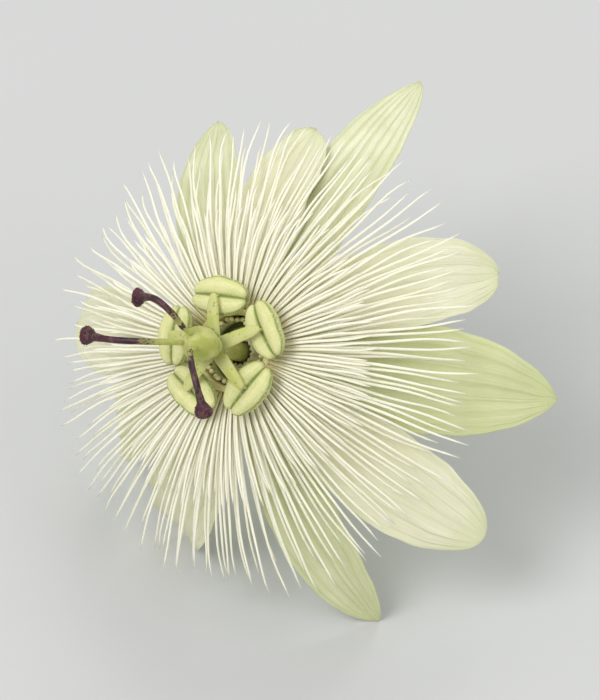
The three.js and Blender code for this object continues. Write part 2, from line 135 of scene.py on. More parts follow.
OUTER_RANK = {
    "ring": (6.85, 8.05), "foot": (SEAT, SEAT), "top": 2.4, "count": 84,
    "root": (7.4, 1.9), "length": 31, "pitch": 2, "bend": -38, "width": (0.5, 0.7, 0.44),
}
INNER_RANK = {
    "ring": (5.6, 6.6), "foot": (-0.5, 0), "top": 4.0, "count": 66,
    "root": (5.95, 3.4), "length": 19, "pitch": 16, "bend": -34, "width": (0.48, 0.62, 0.42),
}
SHORT_RANK = {"ring": (4.85, 5.35), "foot": (-1.1, -0.8), "top": 1.3, "count": 34, "stem": 2.6}

OPERCULUM = {
    "foot": 4.45, "foot_at": -1.7, "mouth": 2.3, "mouth_at": 1.6, "thickness": 0.6, "pleats": 15,
}
COLUMN = {"radius": 1.5, "flare": 2.3, "foot": -CUP["depth"] + SEAT, "top": 10.8}
STRAP = {"reach": 7.9, "width": (2.6, 1.8), "thickness": 0.8, "rise": 10, "drop": -8}
ANTHER = {"length": 9.5, "width": 6.2, "height": 2.5}
STAMENS = table("angle yaw roll", (20, 6, -10), (93, -9, 6), (166, 8, 9), (235, -5, -4), (309, 10, 8))
OVARY = {"radius": 2.8, "foot": COLUMN["top"] + SEAT, "length": 7.2}
STYLE = {"root": 1.35, "rise": 5.0, "radius": 0.5}
STYLES = table("angle swing reach", (186, -9, 15.6), (84, 57, 9.0), (-46, -21, 11.6))

# where each piece starts in the series of draws
OUTER_SERIES, INNER_SERIES, SHORT_SERIES = 1, 11, 21
PETAL_SERIES, BRACT_SERIES = 32, 33
STRAP_SERIES, ANTHER_SERIES, POLLEN_SERIES, PAPILLA_SERIES = 41, 50, 51, 61


def srgb(red, green, blue):
    """A colour given on the 0 to 255 scale, in the linear values that shaders use."""
    shares = (value / 255 for value in (red, green, blue))
    return tuple(s / 12.92 if s <= 0.04045 else ((s + 0.055) / 1.055) ** 2.4 for s in shares)


# ---------------------------------------------------------------- what a user would change


def length_setting(name, description, millimetres):
    return FloatProperty(
        name=name, description=description, default=millimetres * MM, min=0.0,
        unit="LENGTH", subtype="DISTANCE", precision=5,
    )


def light_setting(name, description, watts):
    return FloatProperty(name=name, description=description, default=watts, unit="POWER")


def colour_setting(name, description, red, green, blue):
    return FloatVectorProperty(
        name=name, description=description, default=srgb(red, green, blue), min=0.0, max=1.0,
        size=3, subtype="COLOR",
    )


class FlowerForm(bpy.types.PropertyGroup):
    """Sizes that are finer than the solids carry"""

    petal_thickness: length_setting("Petal Thickness", "Thickness down the middle of a petal", 0.42)
    sepal_thickness: length_setting("Sepal Thickness", "Thickness down the middle of a sepal", 0.6)
    edge_thickness: length_setting("Edge Thickness", "Thickness of a blade at its edge", 0.16)
    ruffle: length_setting("Ruffle", "Height of the small waves along a petal's edge", 0.28)
    thread_width: length_setting("Filament Width", "Width of a long filament at its middle", 0.46)
    threads: IntProperty(
        name="Filaments per Solid", min=1, max=4, default=2,
        description="Fine filaments made for each long filament of the solids",
    )
    grain_size: length_setting("Pollen Grain", "Size of a clump of pollen", 0.2)
    grains: IntProperty(
        name="Pollen Clumps", min=0, max=400, default=150,
        description="Clumps of pollen on each anther",
    )
    rounding: IntProperty(
        name="Rounding", min=0, max=2, default=1,
        description="Subdivision level of the blades and of the turned pieces",
    )


class FlowerColours(bpy.types.PropertyGroup):
    """Colours of the flower's tissues"""

    ivory: colour_setting("Ivory", "Body colour of the petals", 235, 233, 209)
    ivory_shade: colour_setting("Ivory Shade", "Veins and shaded parts of the petals", 216, 214, 180)
    sepal_front: colour_setting("Sepal Front", "Inside of the sepals", 208, 212, 168)
    sepal_shade: colour_setting("Sepal Shade", "Veins and shaded parts of the sepals", 188, 193, 140)
    flush: colour_setting("Green Flush", "Green at the base, tips and edges of the petals", 205, 213, 152)
    sepal_back: colour_setting("Sepal Back", "Outside of the sepals", 168, 190, 112)
    keel: colour_setting("Keel", "Keel and horn on the back of a sepal", 112, 148, 62)
    thread_foot: colour_setting("Filament Foot", "Filaments where they leave the ring", 224, 213, 150)
    thread: colour_setting("Filament", "Filaments along their length", 250, 247, 226)
    membrane: colour_setting("Membrane", "Operculum in the throat", 212, 208, 160)
    column: colour_setting("Column", "Column and straps that carry the anthers", 188, 192, 104)
    # painted shade: besides specks and mottling, this colour darkens the column and the ovary toward their
    # feet and the operculum in its inward folds
    column_dark: colour_setting("Column Dark", "Specks and shade on the column", 104, 128, 48)
    anther: colour_setting("Anther", "Lobes of the anthers", 208, 211, 140)
    anther_groove: colour_setting("Anther Groove", "Groove and seams of the lobes", 104, 122, 46)
    pollen: colour_setting("Pollen", "Pollen on the anthers", 236, 231, 176)
    ovary: colour_setting("Ovary", "Ovary above the anthers", 166, 172, 78)
    purple: colour_setting("Purple", "Styles and stigmas", 78, 36, 50)
    purple_dark: colour_setting("Dark Purple", "Specks on the styles", 36, 16, 24)
    # painted highlight: this paler purple on the stigma's warts stands in for their glisten
    papilla_highlight: colour_setting("Papilla", "Small warts of the stigmas", 128, 80, 92)
    bract: colour_setting("Bract", "Three leafy bracts behind the flower", 122, 164, 70)
    bract_vein: colour_setting("Bract Vein", "Veins of the bracts", 168, 196, 116)
    cup: colour_setting("Cup", "Cup under the petals", 160, 182, 98)
    stalk: colour_setting("Stalk", "Stalk of the flower", 124, 154, 70)
    pith: colour_setting("Pith", "Pale middle of the stalk's cut end", 214, 220, 168)


class Studio(bpy.types.PropertyGroup):
    """Camera, lights and floor"""

    azimuth: FloatProperty(
        name="Azimuth", description="Direction the camera looks from, round the flower",
        default=radians(38), subtype="ANGLE",
    )
    elevation: FloatProperty(
        name="Elevation", description="Height of the camera above the horizon",
        default=radians(45), subtype="ANGLE",
    )
    lens: FloatProperty(
        name="Lens", description="Focal length", default=0.25, unit="CAMERA", subtype="DISTANCE_CAMERA",
    )
    margin: FloatProperty(
        name="Margin", description="Room left round the flower, as a share of its size",
        default=0.09, subtype="FACTOR", min=0.0, max=1.0,
    )
    floor: colour_setting("Floor", "Plain pale floor", 200, 201, 200)
    key: light_setting("Key Light", "Power of the main light", 9.0)
    fill: light_setting("Fill Light", "Power of the fill light", 3.0)
    back: light_setting("Back Light", "Power of the light behind", 4.0)
    sky: FloatProperty(
        name="Sky", description="Strength of the soft light from all round", default=0.6, min=0.0,
    )


# ---------------------------------------------------------------- numbers and lines in space


def mix(first, last, share):
    return first + (last - first) * share


def smooth(value, low, high):
    """0 below low, 1 above high, and an S between them."""
    share = min(1.0, max(0.0, (value - low) / (high - low)))
    return share * share * (3 - 2 * share)


def bump(value, middle, width):
    return math.exp(-(((value - middle) / width) ** 2))


def through(figures, u):
    """Runs through three figures from one end of a piece to the other."""
    first, middle, last = figures
    if u < 0.5:
        return mix(first, middle, smooth(u, 0, 0.5))
    return mix(middle, last, smooth(u, 0.5, 1))


def draw(i, series):
    """A repeatable draw between -1 and 1 for item i of a series."""
    value = sin(i * 12.9898 + series * 78.233) * 43758.5453
    return 2 * (value - math.floor(value)) - 1


def polar(r, angle, z):
    return Vector((r * cos(radians(angle)), r * sin(radians(angle)), z))


def direction(pitch, heading):
    level = cos(radians(pitch))
    return Vector((level * cos(radians(heading)), level * sin(radians(heading)), sin(radians(pitch))))


class Station:
    """A place on a middle line, with the directions along it, aside and out of its face."""

    def __init__(self, u, at, along, side):
        self.u = u
        self.at = at
        self.along = along
        self.side = side
        self.face = along.cross(side)

    def beside(self, across, out, ahead=0.0):
        return self.at + self.side * across + self.face * out + self.along * ahead


def midline(start, length, shares, pitch_at, heading_at):
    """Stations along a line that starts at a point and runs on with a pitch and a heading."""
    at = start.copy()
    before = shares[0]
    stations = []
    for u in shares:
        middle = (u + before) / 2
        at = at + direction(pitch_at(middle), heading_at(middle)) * (length * (u - before))
        heading = radians(heading_at(u))
        along = direction(pitch_at(u), heading_at(u))
        stations.append(Station(u, at, along, Vector((-sin(heading), cos(heading), 0))))
        before = u
    return stations


def evenly(count):
    return [i / count for i in range(count + 1)]


def flower_to_row():
    """The flower's own frame, in millimetres, to the frame that the CAD lies in, in metres.

    The place is found from the box round the cup: its rim is the foremost and highest part."""
    low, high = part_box("calyx_cup")
    tilt = radians(90 - AXIS_RISE)
    rim_above_centre = CUP["rim"] * sin(tilt) - CUP["bevel"] * cos(tilt)
    rim_before_centre = (CUP["rim"] - CUP["bevel"]) * cos(tilt)
    centre = Vector((
        (low.x + high.x) / 2, low.y + rim_before_centre * MM, high.z - rim_above_centre * MM,
    ))
    turned = Matrix.Rotation(tilt, 4, "X") @ Matrix.Rotation(radians(TURN), 4, "Z")
    return Matrix.Translation(centre) @ turned @ Matrix.Scale(MM, 4)


FLOWER_TO_ROW = flower_to_row()

# ---------------------------------------------------------------- modelling helpers

VALUES = ("along", "across", "outside", "tone")  # what the materials read at each point
MERGE = 1e-4  # points that close become one


def new_body():
    """An empty bmesh that carries the values that the materials read."""
    body = bmesh.new()
    for value in VALUES:
        body.verts.layers.float.new(value)
    body.verts.layers.int.new("placed")
    return body


def take_fresh(body):
    """The points that a body has gained since the last call."""
    placed = body.verts.layers.int["placed"]
    fresh = [vert for vert in body.verts if not vert[placed]]
    for vert in fresh:
        vert[placed] = 1
    return fresh


def mark(body, vert, **values):
    for name, value in values.items():
        vert[body.verts.layers.float[name]] = value


def straight_rod(body, sides, rings):
    """A closed straight rod of radius 1 about Z, cut into rings from z 0 to z 1."""
    made = bmesh.ops.create_cone(
        body, cap_ends=True, segments=sides, radius1=1, radius2=1, depth=1,
        matrix=Matrix.Translation((0, 0, 0.5)),
    )["verts"]
    edges = {edge for vert in made for edge in vert.link_edges}
    lengthways = [edge for edge in edges if abs(edge.verts[0].co.z - edge.verts[1].co.z) > 0.5]
    bmesh.ops.subdivide_edges(body, edges=lengthways, cuts=rings - 1)
    return take_fresh(body)


def bent_rod(body, sides, stations, section, **values):
    """A rod bent along stations. section(k) gives its half width and half height at station k."""
    last = len(stations) - 1
    for vert in straight_rod(body, sides, last):
        k = round(vert.co.z * last)
        half_width, half_height = section(k)
        mark(body, vert, **{"along": stations[k].u, "across": vert.co.x, "outside": vert.co.y, **values})
        vert.co = stations[k].beside(vert.co.x * half_width, vert.co.y * half_height)


def turned_body(body, profile, steps, rule=None):
    """A body turned about Z from a profile of (radius, height) points. rule(radius, angle, height)
    gives each point's new radius and the values that the materials read there."""
    verts = [body.verts.new((r, 0, z)) for r, z in profile]
    edges = [body.edges.new(pair) for pair in zip(verts, verts[1:])]
    bmesh.ops.spin(
        body, geom=verts + edges, axis=(0, 0, 1), cent=(0, 0, 0),
        angle=2 * math.pi, steps=steps, use_merge=True,
    )
    bmesh.ops.remove_doubles(body, verts=body.verts, dist=MERGE)
    for vert in take_fresh(body):
        if rule:
            angle = math.atan2(vert.co.y, vert.co.x)
            r, values = rule(math.hypot(vert.co.x, vert.co.y), angle, vert.co.z)
            mark(body, vert, **values)
            vert.co = (r * cos(angle), r * sin(angle), vert.co.z)


def add_object(body, name, materials):
    mesh = bpy.data.meshes.new(name)
    body.to_mesh(mesh)
    body.free()
    for material in materials:
        mesh.materials.append(material)
    made = bpy.data.objects.new(name, mesh)
    bpy.context.scene.collection.objects.link(made)
    return made


def add_piece(body, name, node_name, materials, rounding=0):
    """Moves a body to where the CAD lies and makes it the piece that stands for a node."""
    bmesh.ops.recalc_face_normals(body, faces=body.faces)
    bmesh.ops.transform(body, matrix=FLOWER_TO_ROW, verts=body.verts)
    body.verts.layers.int.remove(body.verts.layers.int["placed"])
    made = add_object(body, name, materials)
    made.data.shade_smooth()
    if rounding:
        softened = made.modifiers.new("rounding", "SUBSURF")
        softened.levels = rounding
        softened.render_levels = rounding
    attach(made, "root")
    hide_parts(node_name)


# ---------------------------------------------------------------- blades

TIP_CLOSENESS = 1.7  # the rows of a blade close up toward its tip
BLADE_ROWS = 48
BLADE_COLUMNS = 30
MIDDLE_CLOSENESS = 0.5  # and its columns close up toward the middle
TUCK = 0.65  # how far a blade's foot reaches back into what carries it
RAGGED = 0.012  # how far the edge of a blade strays from its outline, as a share of its half width


def outline_at(u, base, widest, bluntness):
    """Share of the full width: a base, a widest place and a pointed or blunt end."""
    if u < widest:
        return mix(base, 1, sin(math.pi / 2 * u / widest))
    beyond = (u - widest) / (1 - widest)
    return max(0.0, 1 - beyond ** 2.2) ** (1 / bluntness)


def ragged(u, side, tone):
    """A factor that lets the edge of a blade stray a little. The two sides stray apart."""
    return 1 + RAGGED * (sin(31 * u + 9 * tone + 2 * side) + 0.7 * sin(54 * u + 5 * tone - 1.3 * side))


def blade(body, spec, kind, stations, lift_at, thickness_at, tone):
    """A thin closed blade. Its back keeps the place of the solid's back, half the solid's
    thickness under the middle line, and its front is raised from there by thickness_at(u, v)."""
    rows = len(stations) - 1
    rim = kind["rim"]
    row_of = body.verts.layers.int.new("row")
    bmesh.ops.create_grid(body, x_segments=BLADE_COLUMNS, y_segments=rows, size=1.0)
    for vert in take_fresh(body):
        k = round((vert.co.y + 1) / 2 * rows)
        v = vert.co.x * mix(MIDDLE_CLOSENESS, 1, abs(vert.co.x))
        station = stations[k]
        half_width = spec["width"] / 2 * outline_at(station.u, **kind["outline"])
        aside = v * half_width * ragged(station.u, math.copysign(1, v), tone)
        set_back = (rim - math.sqrt(max(rim * rim - aside * aside, 0))) * max(0, 1 - station.u / 0.3)
        set_back += TUCK * max(0, 1 - station.u / 0.05)
        lift = lift_at(station.u, v, half_width) - kind["thickness"] / 2
        mark(body, vert, along=station.u, across=v, outside=1.0, tone=tone)
        vert[row_of] = k
        vert.co = station.beside(aside, lift, -set_back)
    raised = bmesh.ops.extrude_face_region(body, geom=body.faces[:])["geom"]
    along, across, outside = (body.verts.layers.float[name] for name in VALUES[:3])
    for vert in raised:
        if isinstance(vert, bmesh.types.BMVert):
            vert[outside] = 0.0
            vert.co += stations[vert[row_of]].face * thickness_at(vert[along], vert[across])
    bmesh.ops.remove_doubles(body, verts=body.verts, dist=MERGE)
    body.verts.layers.int.remove(row_of)


def blade_shares():
    return [1 - (1 - u) ** TIP_CLOSENESS for u in evenly(BLADE_ROWS)]


def tepal_stations(spec, kind):
    return midline(
        polar(kind["rim"], spec["angle"], kind["height"]), spec["length"], blade_shares(),
        lambda u: TEPAL["pitch"] + TEPAL["bend"] * u + spec["curl"] * u * u,
        lambda u: spec["angle"] + 2.1 * spec["drift"] * u,
    )


def thinning(middle, edge):
    """Thickness of a blade that is thick down its middle and thin at its edge and tip."""
    return lambda u, v: mix(edge, middle, (1 - v ** 4) * (1 - 0.6 * smooth(u, 0.75, 1)))


# ---------------------------------------------------------------- shader nodes


class Tree:
    """A node tree under way. A socket takes a number, a colour or another node's output."""

    def __init__(self, tree):
        self.tree = tree

    def feed(self, socket, value):
        if isinstance(value, bpy.types.NodeSocket):
            self.tree.links.new(value, socket)
        else:
            socket.default_value = (*value, 1.0) if socket.type == "RGBA" else value

    def node(self, kind, sockets=None, **settings):
        """Adds a node and returns its outputs."""
        made = self.tree.nodes.new(kind)
        for name, value in settings.items():
            setattr(made, name, value)
        for name, value in (sockets or {}).items():
            self.feed(made.inputs[name], value)
        return made.outputs

    def maths(self, operation, first, second=0.0):
        return self.node("ShaderNodeMath", {0: first, 1: second}, operation=operation)[0]

    def times(self, first, second):
        return self.maths("MULTIPLY", first, second)

    def plus(self, first, second):
        return self.maths("ADD", first, second)

    def minus(self, first, second):
        return self.maths("SUBTRACT", first, second)

    def unsigned(self, value):
        return self.maths("ABSOLUTE", value)

    def ridges(self, turns, sharpness):
        """Ridges half a turn apart."""
        return self.maths("POWER", self.unsigned(self.maths("COSINE", turns)), sharpness)

    def ramp(self, value, low, high, bottom=0.0, top=1.0):
        """A value between bottom and top that rises in an S from low to high."""
        sockets = {"Value": value, "From Min": low, "From Max": high, "To Min": bottom, "To Max": top}
        return self.node("ShaderNodeMapRange", sockets, interpolation_type="SMOOTHSTEP")["Result"]

    def fade(self, value, low, high):
        """A share that falls in an S from 1 at low to 0 at high."""
        return self.ramp(value, low, high, 1.0, 0.0)

    def noise(self, vector, scale, detail=2.0, roughness=0.5):
        sockets = {"Vector": vector, "Scale": scale, "Detail": detail, "Roughness": roughness}
        return self.node("ShaderNodeTexNoise", sockets)["Fac"]

    def cells(self, vector, scale, feature):
        sockets = {"Vector": vector, "Scale": scale}
        return self.node("ShaderNodeTexVoronoi", sockets, feature=feature)["Distance"]

    def paint(self, base, colour, share):
        """Lays a colour over a base by a share from 0 to 1."""
        sockets = {0: share, 6: base, 7: colour}
        return self.node("ShaderNodeMix", sockets, data_type="RGBA", clamp_factor=True)[2]


class Effect(Tree):
    """A shared effect under way: a group with named inputs and outputs."""

    def __init__(self, name, inputs, outputs):
        super().__init__(bpy.data.node_groups.new(name, "ShaderNodeTree"))
        for label, default in inputs.items():
            kind = "NodeSocketVector" if default is None else "NodeSocketFloat"
            socket = self.tree.interface.new_socket(name=label, in_out="INPUT", socket_type=kind)
            if default is not None:
                socket.default_value = default
        for label in outputs:
            self.tree.interface.new_socket(name=label, in_out="OUTPUT", socket_type="NodeSocketFloat")
        self.given = self.tree.nodes.new("NodeGroupInput").outputs
        self.wanted = self.tree.nodes.new("NodeGroupOutput").inputs

    def put_out(self, label, value):
        self.feed(self.wanted[label], value)

    def stretched(self, across_scale, along_scale):
        """Places stretched along a blade, which differ from piece to piece by their tone."""
        given = self.given
        return self.node("ShaderNodeCombineXYZ", {
            "X": self.times(given["Across"], across_scale), "Y": self.times(given["Along"], along_scale),
            "Z": self.times(given["Tone"], 9.0),
        })[0]


def build_tissue():
    """Soft clouds of tone and the fine cells of a plant's skin."""
    made = Effect(
        "plant_tissue", {"Vector": None, "Cloud Scale": 150.0, "Cell Scale": 2200.0}, ("Cloud", "Cells"),
    )
    place, cell_scale = made.given["Vector"], made.given["Cell Scale"]
    cells = made.times(made.cells(place, cell_scale, "SMOOTH_F1"), 0.6)
    made.put_out("Cloud", made.ramp(made.noise(place, made.given["Cloud Scale"], 3.0), 0.32, 0.68))
    made.put_out("Cells", made.plus(cells, made.times(made.noise(place, cell_scale, 1.0), 0.4)))
    return made.tree


def build_veins():
    """Lines that run along a blade and wander a little, coarse ones with fine ones between."""
    made = Effect(
        "long_veins", {"Along": 0.0, "Across": 0.0, "Tone": 0.0, "Count": 7.0, "Wander": 0.25},
        ("Lines", "Fine"),
    )
    sway = made.times(made.minus(made.noise(made.stretched(2.2, 2.6), 1.4), 0.5), made.given["Wander"])
    turns = made.times(made.plus(made.given["Across"], sway), made.given["Count"])
    for label, closeness, sharpness in (("Lines", 1.0, 7.0), ("Fine", 3.1, 3.0)):
        made.put_out(label, made.ridges(made.times(turns, closeness * math.pi / 2), sharpness))
    return made.tree


def build_side_veins():
    """Veins that leave the middle of a leaf and bend toward its tip."""
    made = Effect(
        "side_veins", {"Along": 0.0, "Across": 0.0, "Count": 7.0, "Slant": 0.32}, ("Lines", "Midrib"),
    )
    aside = made.unsigned(made.given["Across"])
    place = made.minus(made.given["Along"], made.times(made.maths("POWER", aside, 0.8), made.given["Slant"]))
    turns = made.times(made.times(place, made.given["Count"]), math.pi)
    made.put_out("Lines", made.ridges(turns, 14.0))
    made.put_out("Midrib", made.fade(aside, 0.02, 0.09))
    return made.tree


def build_streaks():
    """Long soft streaks of tone that run along a blade or a thread."""
    made = Effect(
        "long_streaks", {"Along": 0.0, "Across": 0.0, "Tone": 0.0, "Closeness": 12.0}, ("Streaks",),
    )
    places = made.stretched(made.given["Closeness"], 2.0)
    made.put_out("Streaks", made.ramp(made.noise(places, 1.0, 3.0, 0.6), 0.3, 0.7))
    return made.tree


def build_specks():
    """Round specks of a few sizes, scattered and left out here and there."""
    made = Effect("specks", {"Vector": None, "Scale": 900.0, "Size": 0.3}, ("Specks",))
    place, scale = made.given["Vector"], made.given["Scale"]
    patches = made.ramp(made.noise(place, made.times(scale, 0.3)), 0.35, 0.65, 0.3, 1.3)
    edge = made.times(made.given["Size"], patches)
    made.put_out("Specks", made.ramp(made.minus(edge, made.cells(place, scale, "F1")), 0.0, 0.12))
    return made.tree


EFFECT_BUILDERS = {
    "plant_tissue": build_tissue,
    "long_veins": build_veins,
    "side_veins": build_side_veins,
    "long_streaks": build_streaks,
    "specks": build_specks,
}


class Finish(Tree):
    """A material under way: its Principled shader and the colour laid on it so far."""

    def __init__(self, name, shader):
        self.material = bpy.data.materials.new(name)
        self.material.use_nodes = True
        super().__init__(self.material.node_tree)
        self.shader = self.tree.nodes["Principled BSDF"].inputs
        for label, value in shader.items():
            self.feed(self.shader[label], value)
        self.place = self.node("ShaderNodeTexCoord")["Object"]
        self.colour = None

    def values(self, *names):
        return [self.node("ShaderNodeAttribute", attribute_name=name)["Fac"] for name in names]

    def shared(self, name, sockets):
        """Places a shared effect, which is built where it is first wanted."""
        effect = bpy.data.node_groups.get(name) or EFFECT_BUILDERS[name]()
        return self.node("ShaderNodeGroup", sockets, node_tree=effect)

    def tissue(self, cloud_scale, cell_scale):
        sockets = {"Vector": self.place, "Cloud Scale": cloud_scale, "Cell Scale": cell_scale}
        outputs = self.shared("plant_tissue", sockets)
        return outputs["Cloud"], outputs["Cells"]

    def specks(self, scale, size):
        return self.shared("specks", {"Vector": self.place, "Scale": scale, "Size": size})["Specks"]

    def coat(self, colour, share, strength=None):
        """Lays a colour over the last one by a share from 0 to 1, times a strength."""
        if strength is not None:
            share = self.times(share, strength)
        self.colour = self.paint(self.colour, colour, share)

    def relief(self, height, depth):
        """Relief of the given depth in millimetres, from a height between 0 and 1."""
        sockets = {"Height": height, "Strength": 1.0, "Distance": depth * MM}
        self.feed(self.shader["Normal"], self.node("ShaderNodeBump", sockets)["Normal"])

    def done(self, roughness=None):
        self.feed(self.shader["Base Color"], self.colour)
        if roughness is not None:
            self.feed(self.shader["Roughness"], roughness)
        return self.material


def tissue_shader(translucence, reach=1.2):
    """Sockets of living tissue: a little light passes through, most of it yellow-green."""
    return {
        "Subsurface Weight": translucence, "Subsurface Radius": (1.0, 1.0, 0.45),
        "Subsurface Scale": reach * MM, "Specular IOR Level": 0.35,
    }


# ---------------------------------------------------------------- finishes


def tepal_finish(name, colours, front, shade, back):
    """Satin blade with faint lengthwise veins and a green flush at its base, tip and edges."""
    made = Finish(name, tissue_shader(0.22))
    along, across, outside, tone = made.values(*VALUES)
    cloud, cells = made.tissue(170.0, 2600.0)
    sockets = {"Along": along, "Across": across, "Tone": tone}
    veins = made.shared("long_veins", sockets)
    streaks = made.shared("long_streaks", sockets)["Streaks"]
    aside = made.unsigned(across)
    edge = made.ramp(aside, 0.72, 1.0)
    faded = made.ramp(along, 0.88, 0.99, 1.0, 0.2)
    lines = made.times(veins["Lines"], faded)
    fine = made.times(veins["Fine"], faded)
    made.colour = made.paint(colours.ivory, front, made.ramp(tone, 0.0, 1.0))
    made.coat(shade, cloud, 0.35)
    made.coat(shade, streaks, 0.35)
    made.coat(shade, lines, 0.5)
    made.coat(colours.flush, fine, 0.16)
    made.coat(colours.flush, made.fade(along, 0.05, 0.32), 0.5)
    made.coat(colours.flush, made.ramp(along, 0.8, 1.0), 0.4)
    made.coat(colours.flush, edge, 0.18)
    if back:
        green = made.paint(colours.sepal_back, colours.flush, made.times(edge, 0.8))
        green = made.paint(green, colours.flush, made.times(streaks, 0.3))
        green = made.paint(green, colours.keel, made.times(lines, 0.3))
        green = made.paint(green, colours.keel, made.fade(aside, 0.05, 0.3))
        made.coat(green, made.ramp(outside, 0.35, 0.75))
    furrows = made.plus(made.times(lines, -0.5), made.times(fine, -0.25))
    grain = made.plus(made.times(streaks, 0.5), made.times(cells, 0.12))
    made.relief(made.plus(furrows, grain), 0.12)
    return made.done(made.ramp(cells, 0.2, 0.7, 0.46, 0.62))


def filament_finish(name, colours):
    """White thread, creamy at its foot, with its own tone."""
    made = Finish(name, tissue_shader(0.25, 0.6))
    along, tone = made.values("along", "tone")
    cloud, cells = made.tissue(500.0, 4200.0)
    made.colour = made.paint(colours.thread_foot, colours.thread, made.ramp(along, 0.0, 0.3))
    made.coat(colours.ivory_shade, made.ramp(tone, 0.1, 1.0, 0.0, 0.3))
    made.coat(colours.ivory_shade, cloud, 0.15)
    made.relief(cells, 0.04)
    return made.done(made.ramp(cloud, 0.0, 1.0, 0.42, 0.55))


def short_filament_finish(name, colours):
    """Cream stem under a paler round head."""
    made = Finish(name, tissue_shader(0.2, 0.6))
    along, tone = made.values("along", "tone")
    cloud, cells = made.tissue(600.0, 4200.0)
    made.colour = made.paint(colours.membrane, colours.thread_foot, made.ramp(along, 0.0, 0.6))
    made.coat(colours.pollen, made.ramp(along, 0.62, 0.86))
    made.coat(colours.flush, cloud, 0.3)
    made.coat(colours.thread_foot, made.ramp(tone, 0.0, 1.0, 0.0, 0.3))
    made.relief(cells, 0.03)
    return made.done()


def membrane_finish(name, colours):
    """Thin pleated skin, greener down in the throat, with painted shade darkening the inward folds of its
    pleats.
    """
    made = Finish(name, tissue_shader(0.25, 0.8))
    cloud, cells = made.tissue(420.0, 3600.0)
    along, fold = made.values("along", "across")
    made.colour = made.paint(colours.flush, colours.membrane, made.ramp(along, 0.0, 0.8))
    # painted shade: darker in the inward folds of the pleats
    made.coat(colours.column_dark, made.ramp(fold, 0.2, 1.0, 0.0, 0.22))
    made.coat(colours.thread, cloud, 0.3)
    made.relief(cells, 0.04)
    return made.done(made.ramp(cloud, 0.0, 1.0, 0.4, 0.55))


def column_finish(name, colours):
    """Pale green stem with darker specks, and painted shade that darkens it toward its foot in the throat.
    """
    made = Finish(name, tissue_shader(0.15, 0.8))
    (along,) = made.values("along")
    cloud, cells = made.tissue(360.0, 3200.0)
    specks = made.specks(1500.0, 0.34)
    made.colour = made.paint(colours.column, colours.membrane, made.times(cloud, 0.45))
    made.coat(colours.column_dark, specks, 0.5)
    # painted shade: darker toward the foot, down in the cup's throat
    made.coat(colours.column_dark, made.ramp(along, 0.55, 0.0, 0.0, 0.35))
    made.relief(made.minus(cells, made.times(specks, 0.4)), 0.05)
    return made.done(made.ramp(cloud, 0.0, 1.0, 0.36, 0.5))


def anther_finish(name, colours):
    """Powdery lobes either side of an olive groove, with a darker seam along each side."""
    made = Finish(name, tissue_shader(0.08, 0.5))
    along, across, tone = made.values("along", "across", "tone")
    aside = made.unsigned(across)
    cloud, cells = made.tissue(620.0, 3800.0)
    sockets = {"Along": along, "Across": across, "Tone": tone, "Closeness": 9.0}
    streaks = made.shared("long_streaks", sockets)["Streaks"]
    seam = made.times(made.ramp(aside, 0.84, 0.93), made.ramp(aside, 0.94, 1.0, 1.0, 0.3))
    made.colour = made.paint(colours.anther, colours.pollen, made.times(cloud, 0.4))
    made.coat(colours.pollen, made.fade(made.unsigned(made.minus(aside, 0.5)), 0.0, 0.34), 0.5)
    made.coat(colours.anther_groove, streaks, 0.1)
    made.coat(colours.anther_groove, made.fade(aside, 0.02, 0.17), 0.85)
    made.coat(colours.anther_groove, seam, 0.7)
    made.coat(colours.anther_groove, made.ramp(made.unsigned(along), 0.84, 1.0), 0.3)
    made.coat(colours.thread, made.specks(3600.0, 0.3), 0.3)
    made.relief(made.plus(cells, made.times(streaks, 0.3)), 0.1)
    return made.done(made.ramp(cells, 0.2, 0.7, 0.62, 0.85))


def pollen_finish(name, colours):
    """Dry clumps, each with its own tone."""
    made = Finish(name, {"Roughness": 0.9, "Specular IOR Level": 0.15})
    (tone,) = made.values("tone")
    cloud, cells = made.tissue(900.0, 7000.0)
    made.colour = made.paint(colours.pollen, colours.anther, made.ramp(tone, -1.0, 1.0))
    made.coat(colours.thread, cloud, 0.3)
    made.relief(cells, 0.03)
    return made.done()


def ovary_finish(name, colours):
    """Green under a pale waxy bloom that is rubbed off along its three ribs, and painted shade toward its
    foot.
    """
    made = Finish(name, {"Coat Weight": 0.12, "Coat Roughness": 0.45, **tissue_shader(0.12, 0.9)})
    along, rib = made.values("along", "across")
    cloud, cells = made.tissue(300.0, 3000.0)
    wax = made.times(made.ramp(cloud, 0.1, 0.9), made.ramp(rib, 0.2, 1.0, 0.3, 0.1))
    # painted shade: darker toward the foot, over the column top and the straps
    made.colour = made.paint(colours.ovary, colours.column_dark, made.ramp(along, 0.35, 0.0, 0.0, 0.5))
    made.coat(colours.pollen, wax)
    made.coat(colours.column_dark, made.specks(1300.0, 0.26), 0.22)
    made.relief(cells, 0.05)
    return made.done(made.ramp(cloud, 0.0, 1.0, 0.34, 0.55))


def style_finish(name, colours):
    """Green at the ovary, then more and more purple specks that run together toward the stigma, whose warts
    get a paler purple as a painted highlight.
    """
    made = Finish(name, {"Specular IOR Level": 0.4})
    along, wart_highlight = made.values("along", "outside")
    cloud, cells = made.tissue(450.0, 3000.0)
    specks = made.specks(2100.0, made.ramp(along, 0.02, 0.42, 0.1, 1.15))
    made.colour = made.paint(colours.column, colours.column_dark, made.times(cloud, 0.4))
    made.coat(colours.purple, made.ramp(along, 0.1, 0.5, 0.0, 0.93))
    made.coat(made.paint(colours.purple, colours.purple_dark, cloud), specks)
    # painted highlight: the stigma's warts are paler purple, standing in for their glisten
    made.coat(colours.papilla_highlight, wart_highlight, 0.6)
    made.relief(cells, 0.1)
    return made.done(made.plus(made.times(made.ramp(along, 0.82, 0.9), 0.3), 0.4))


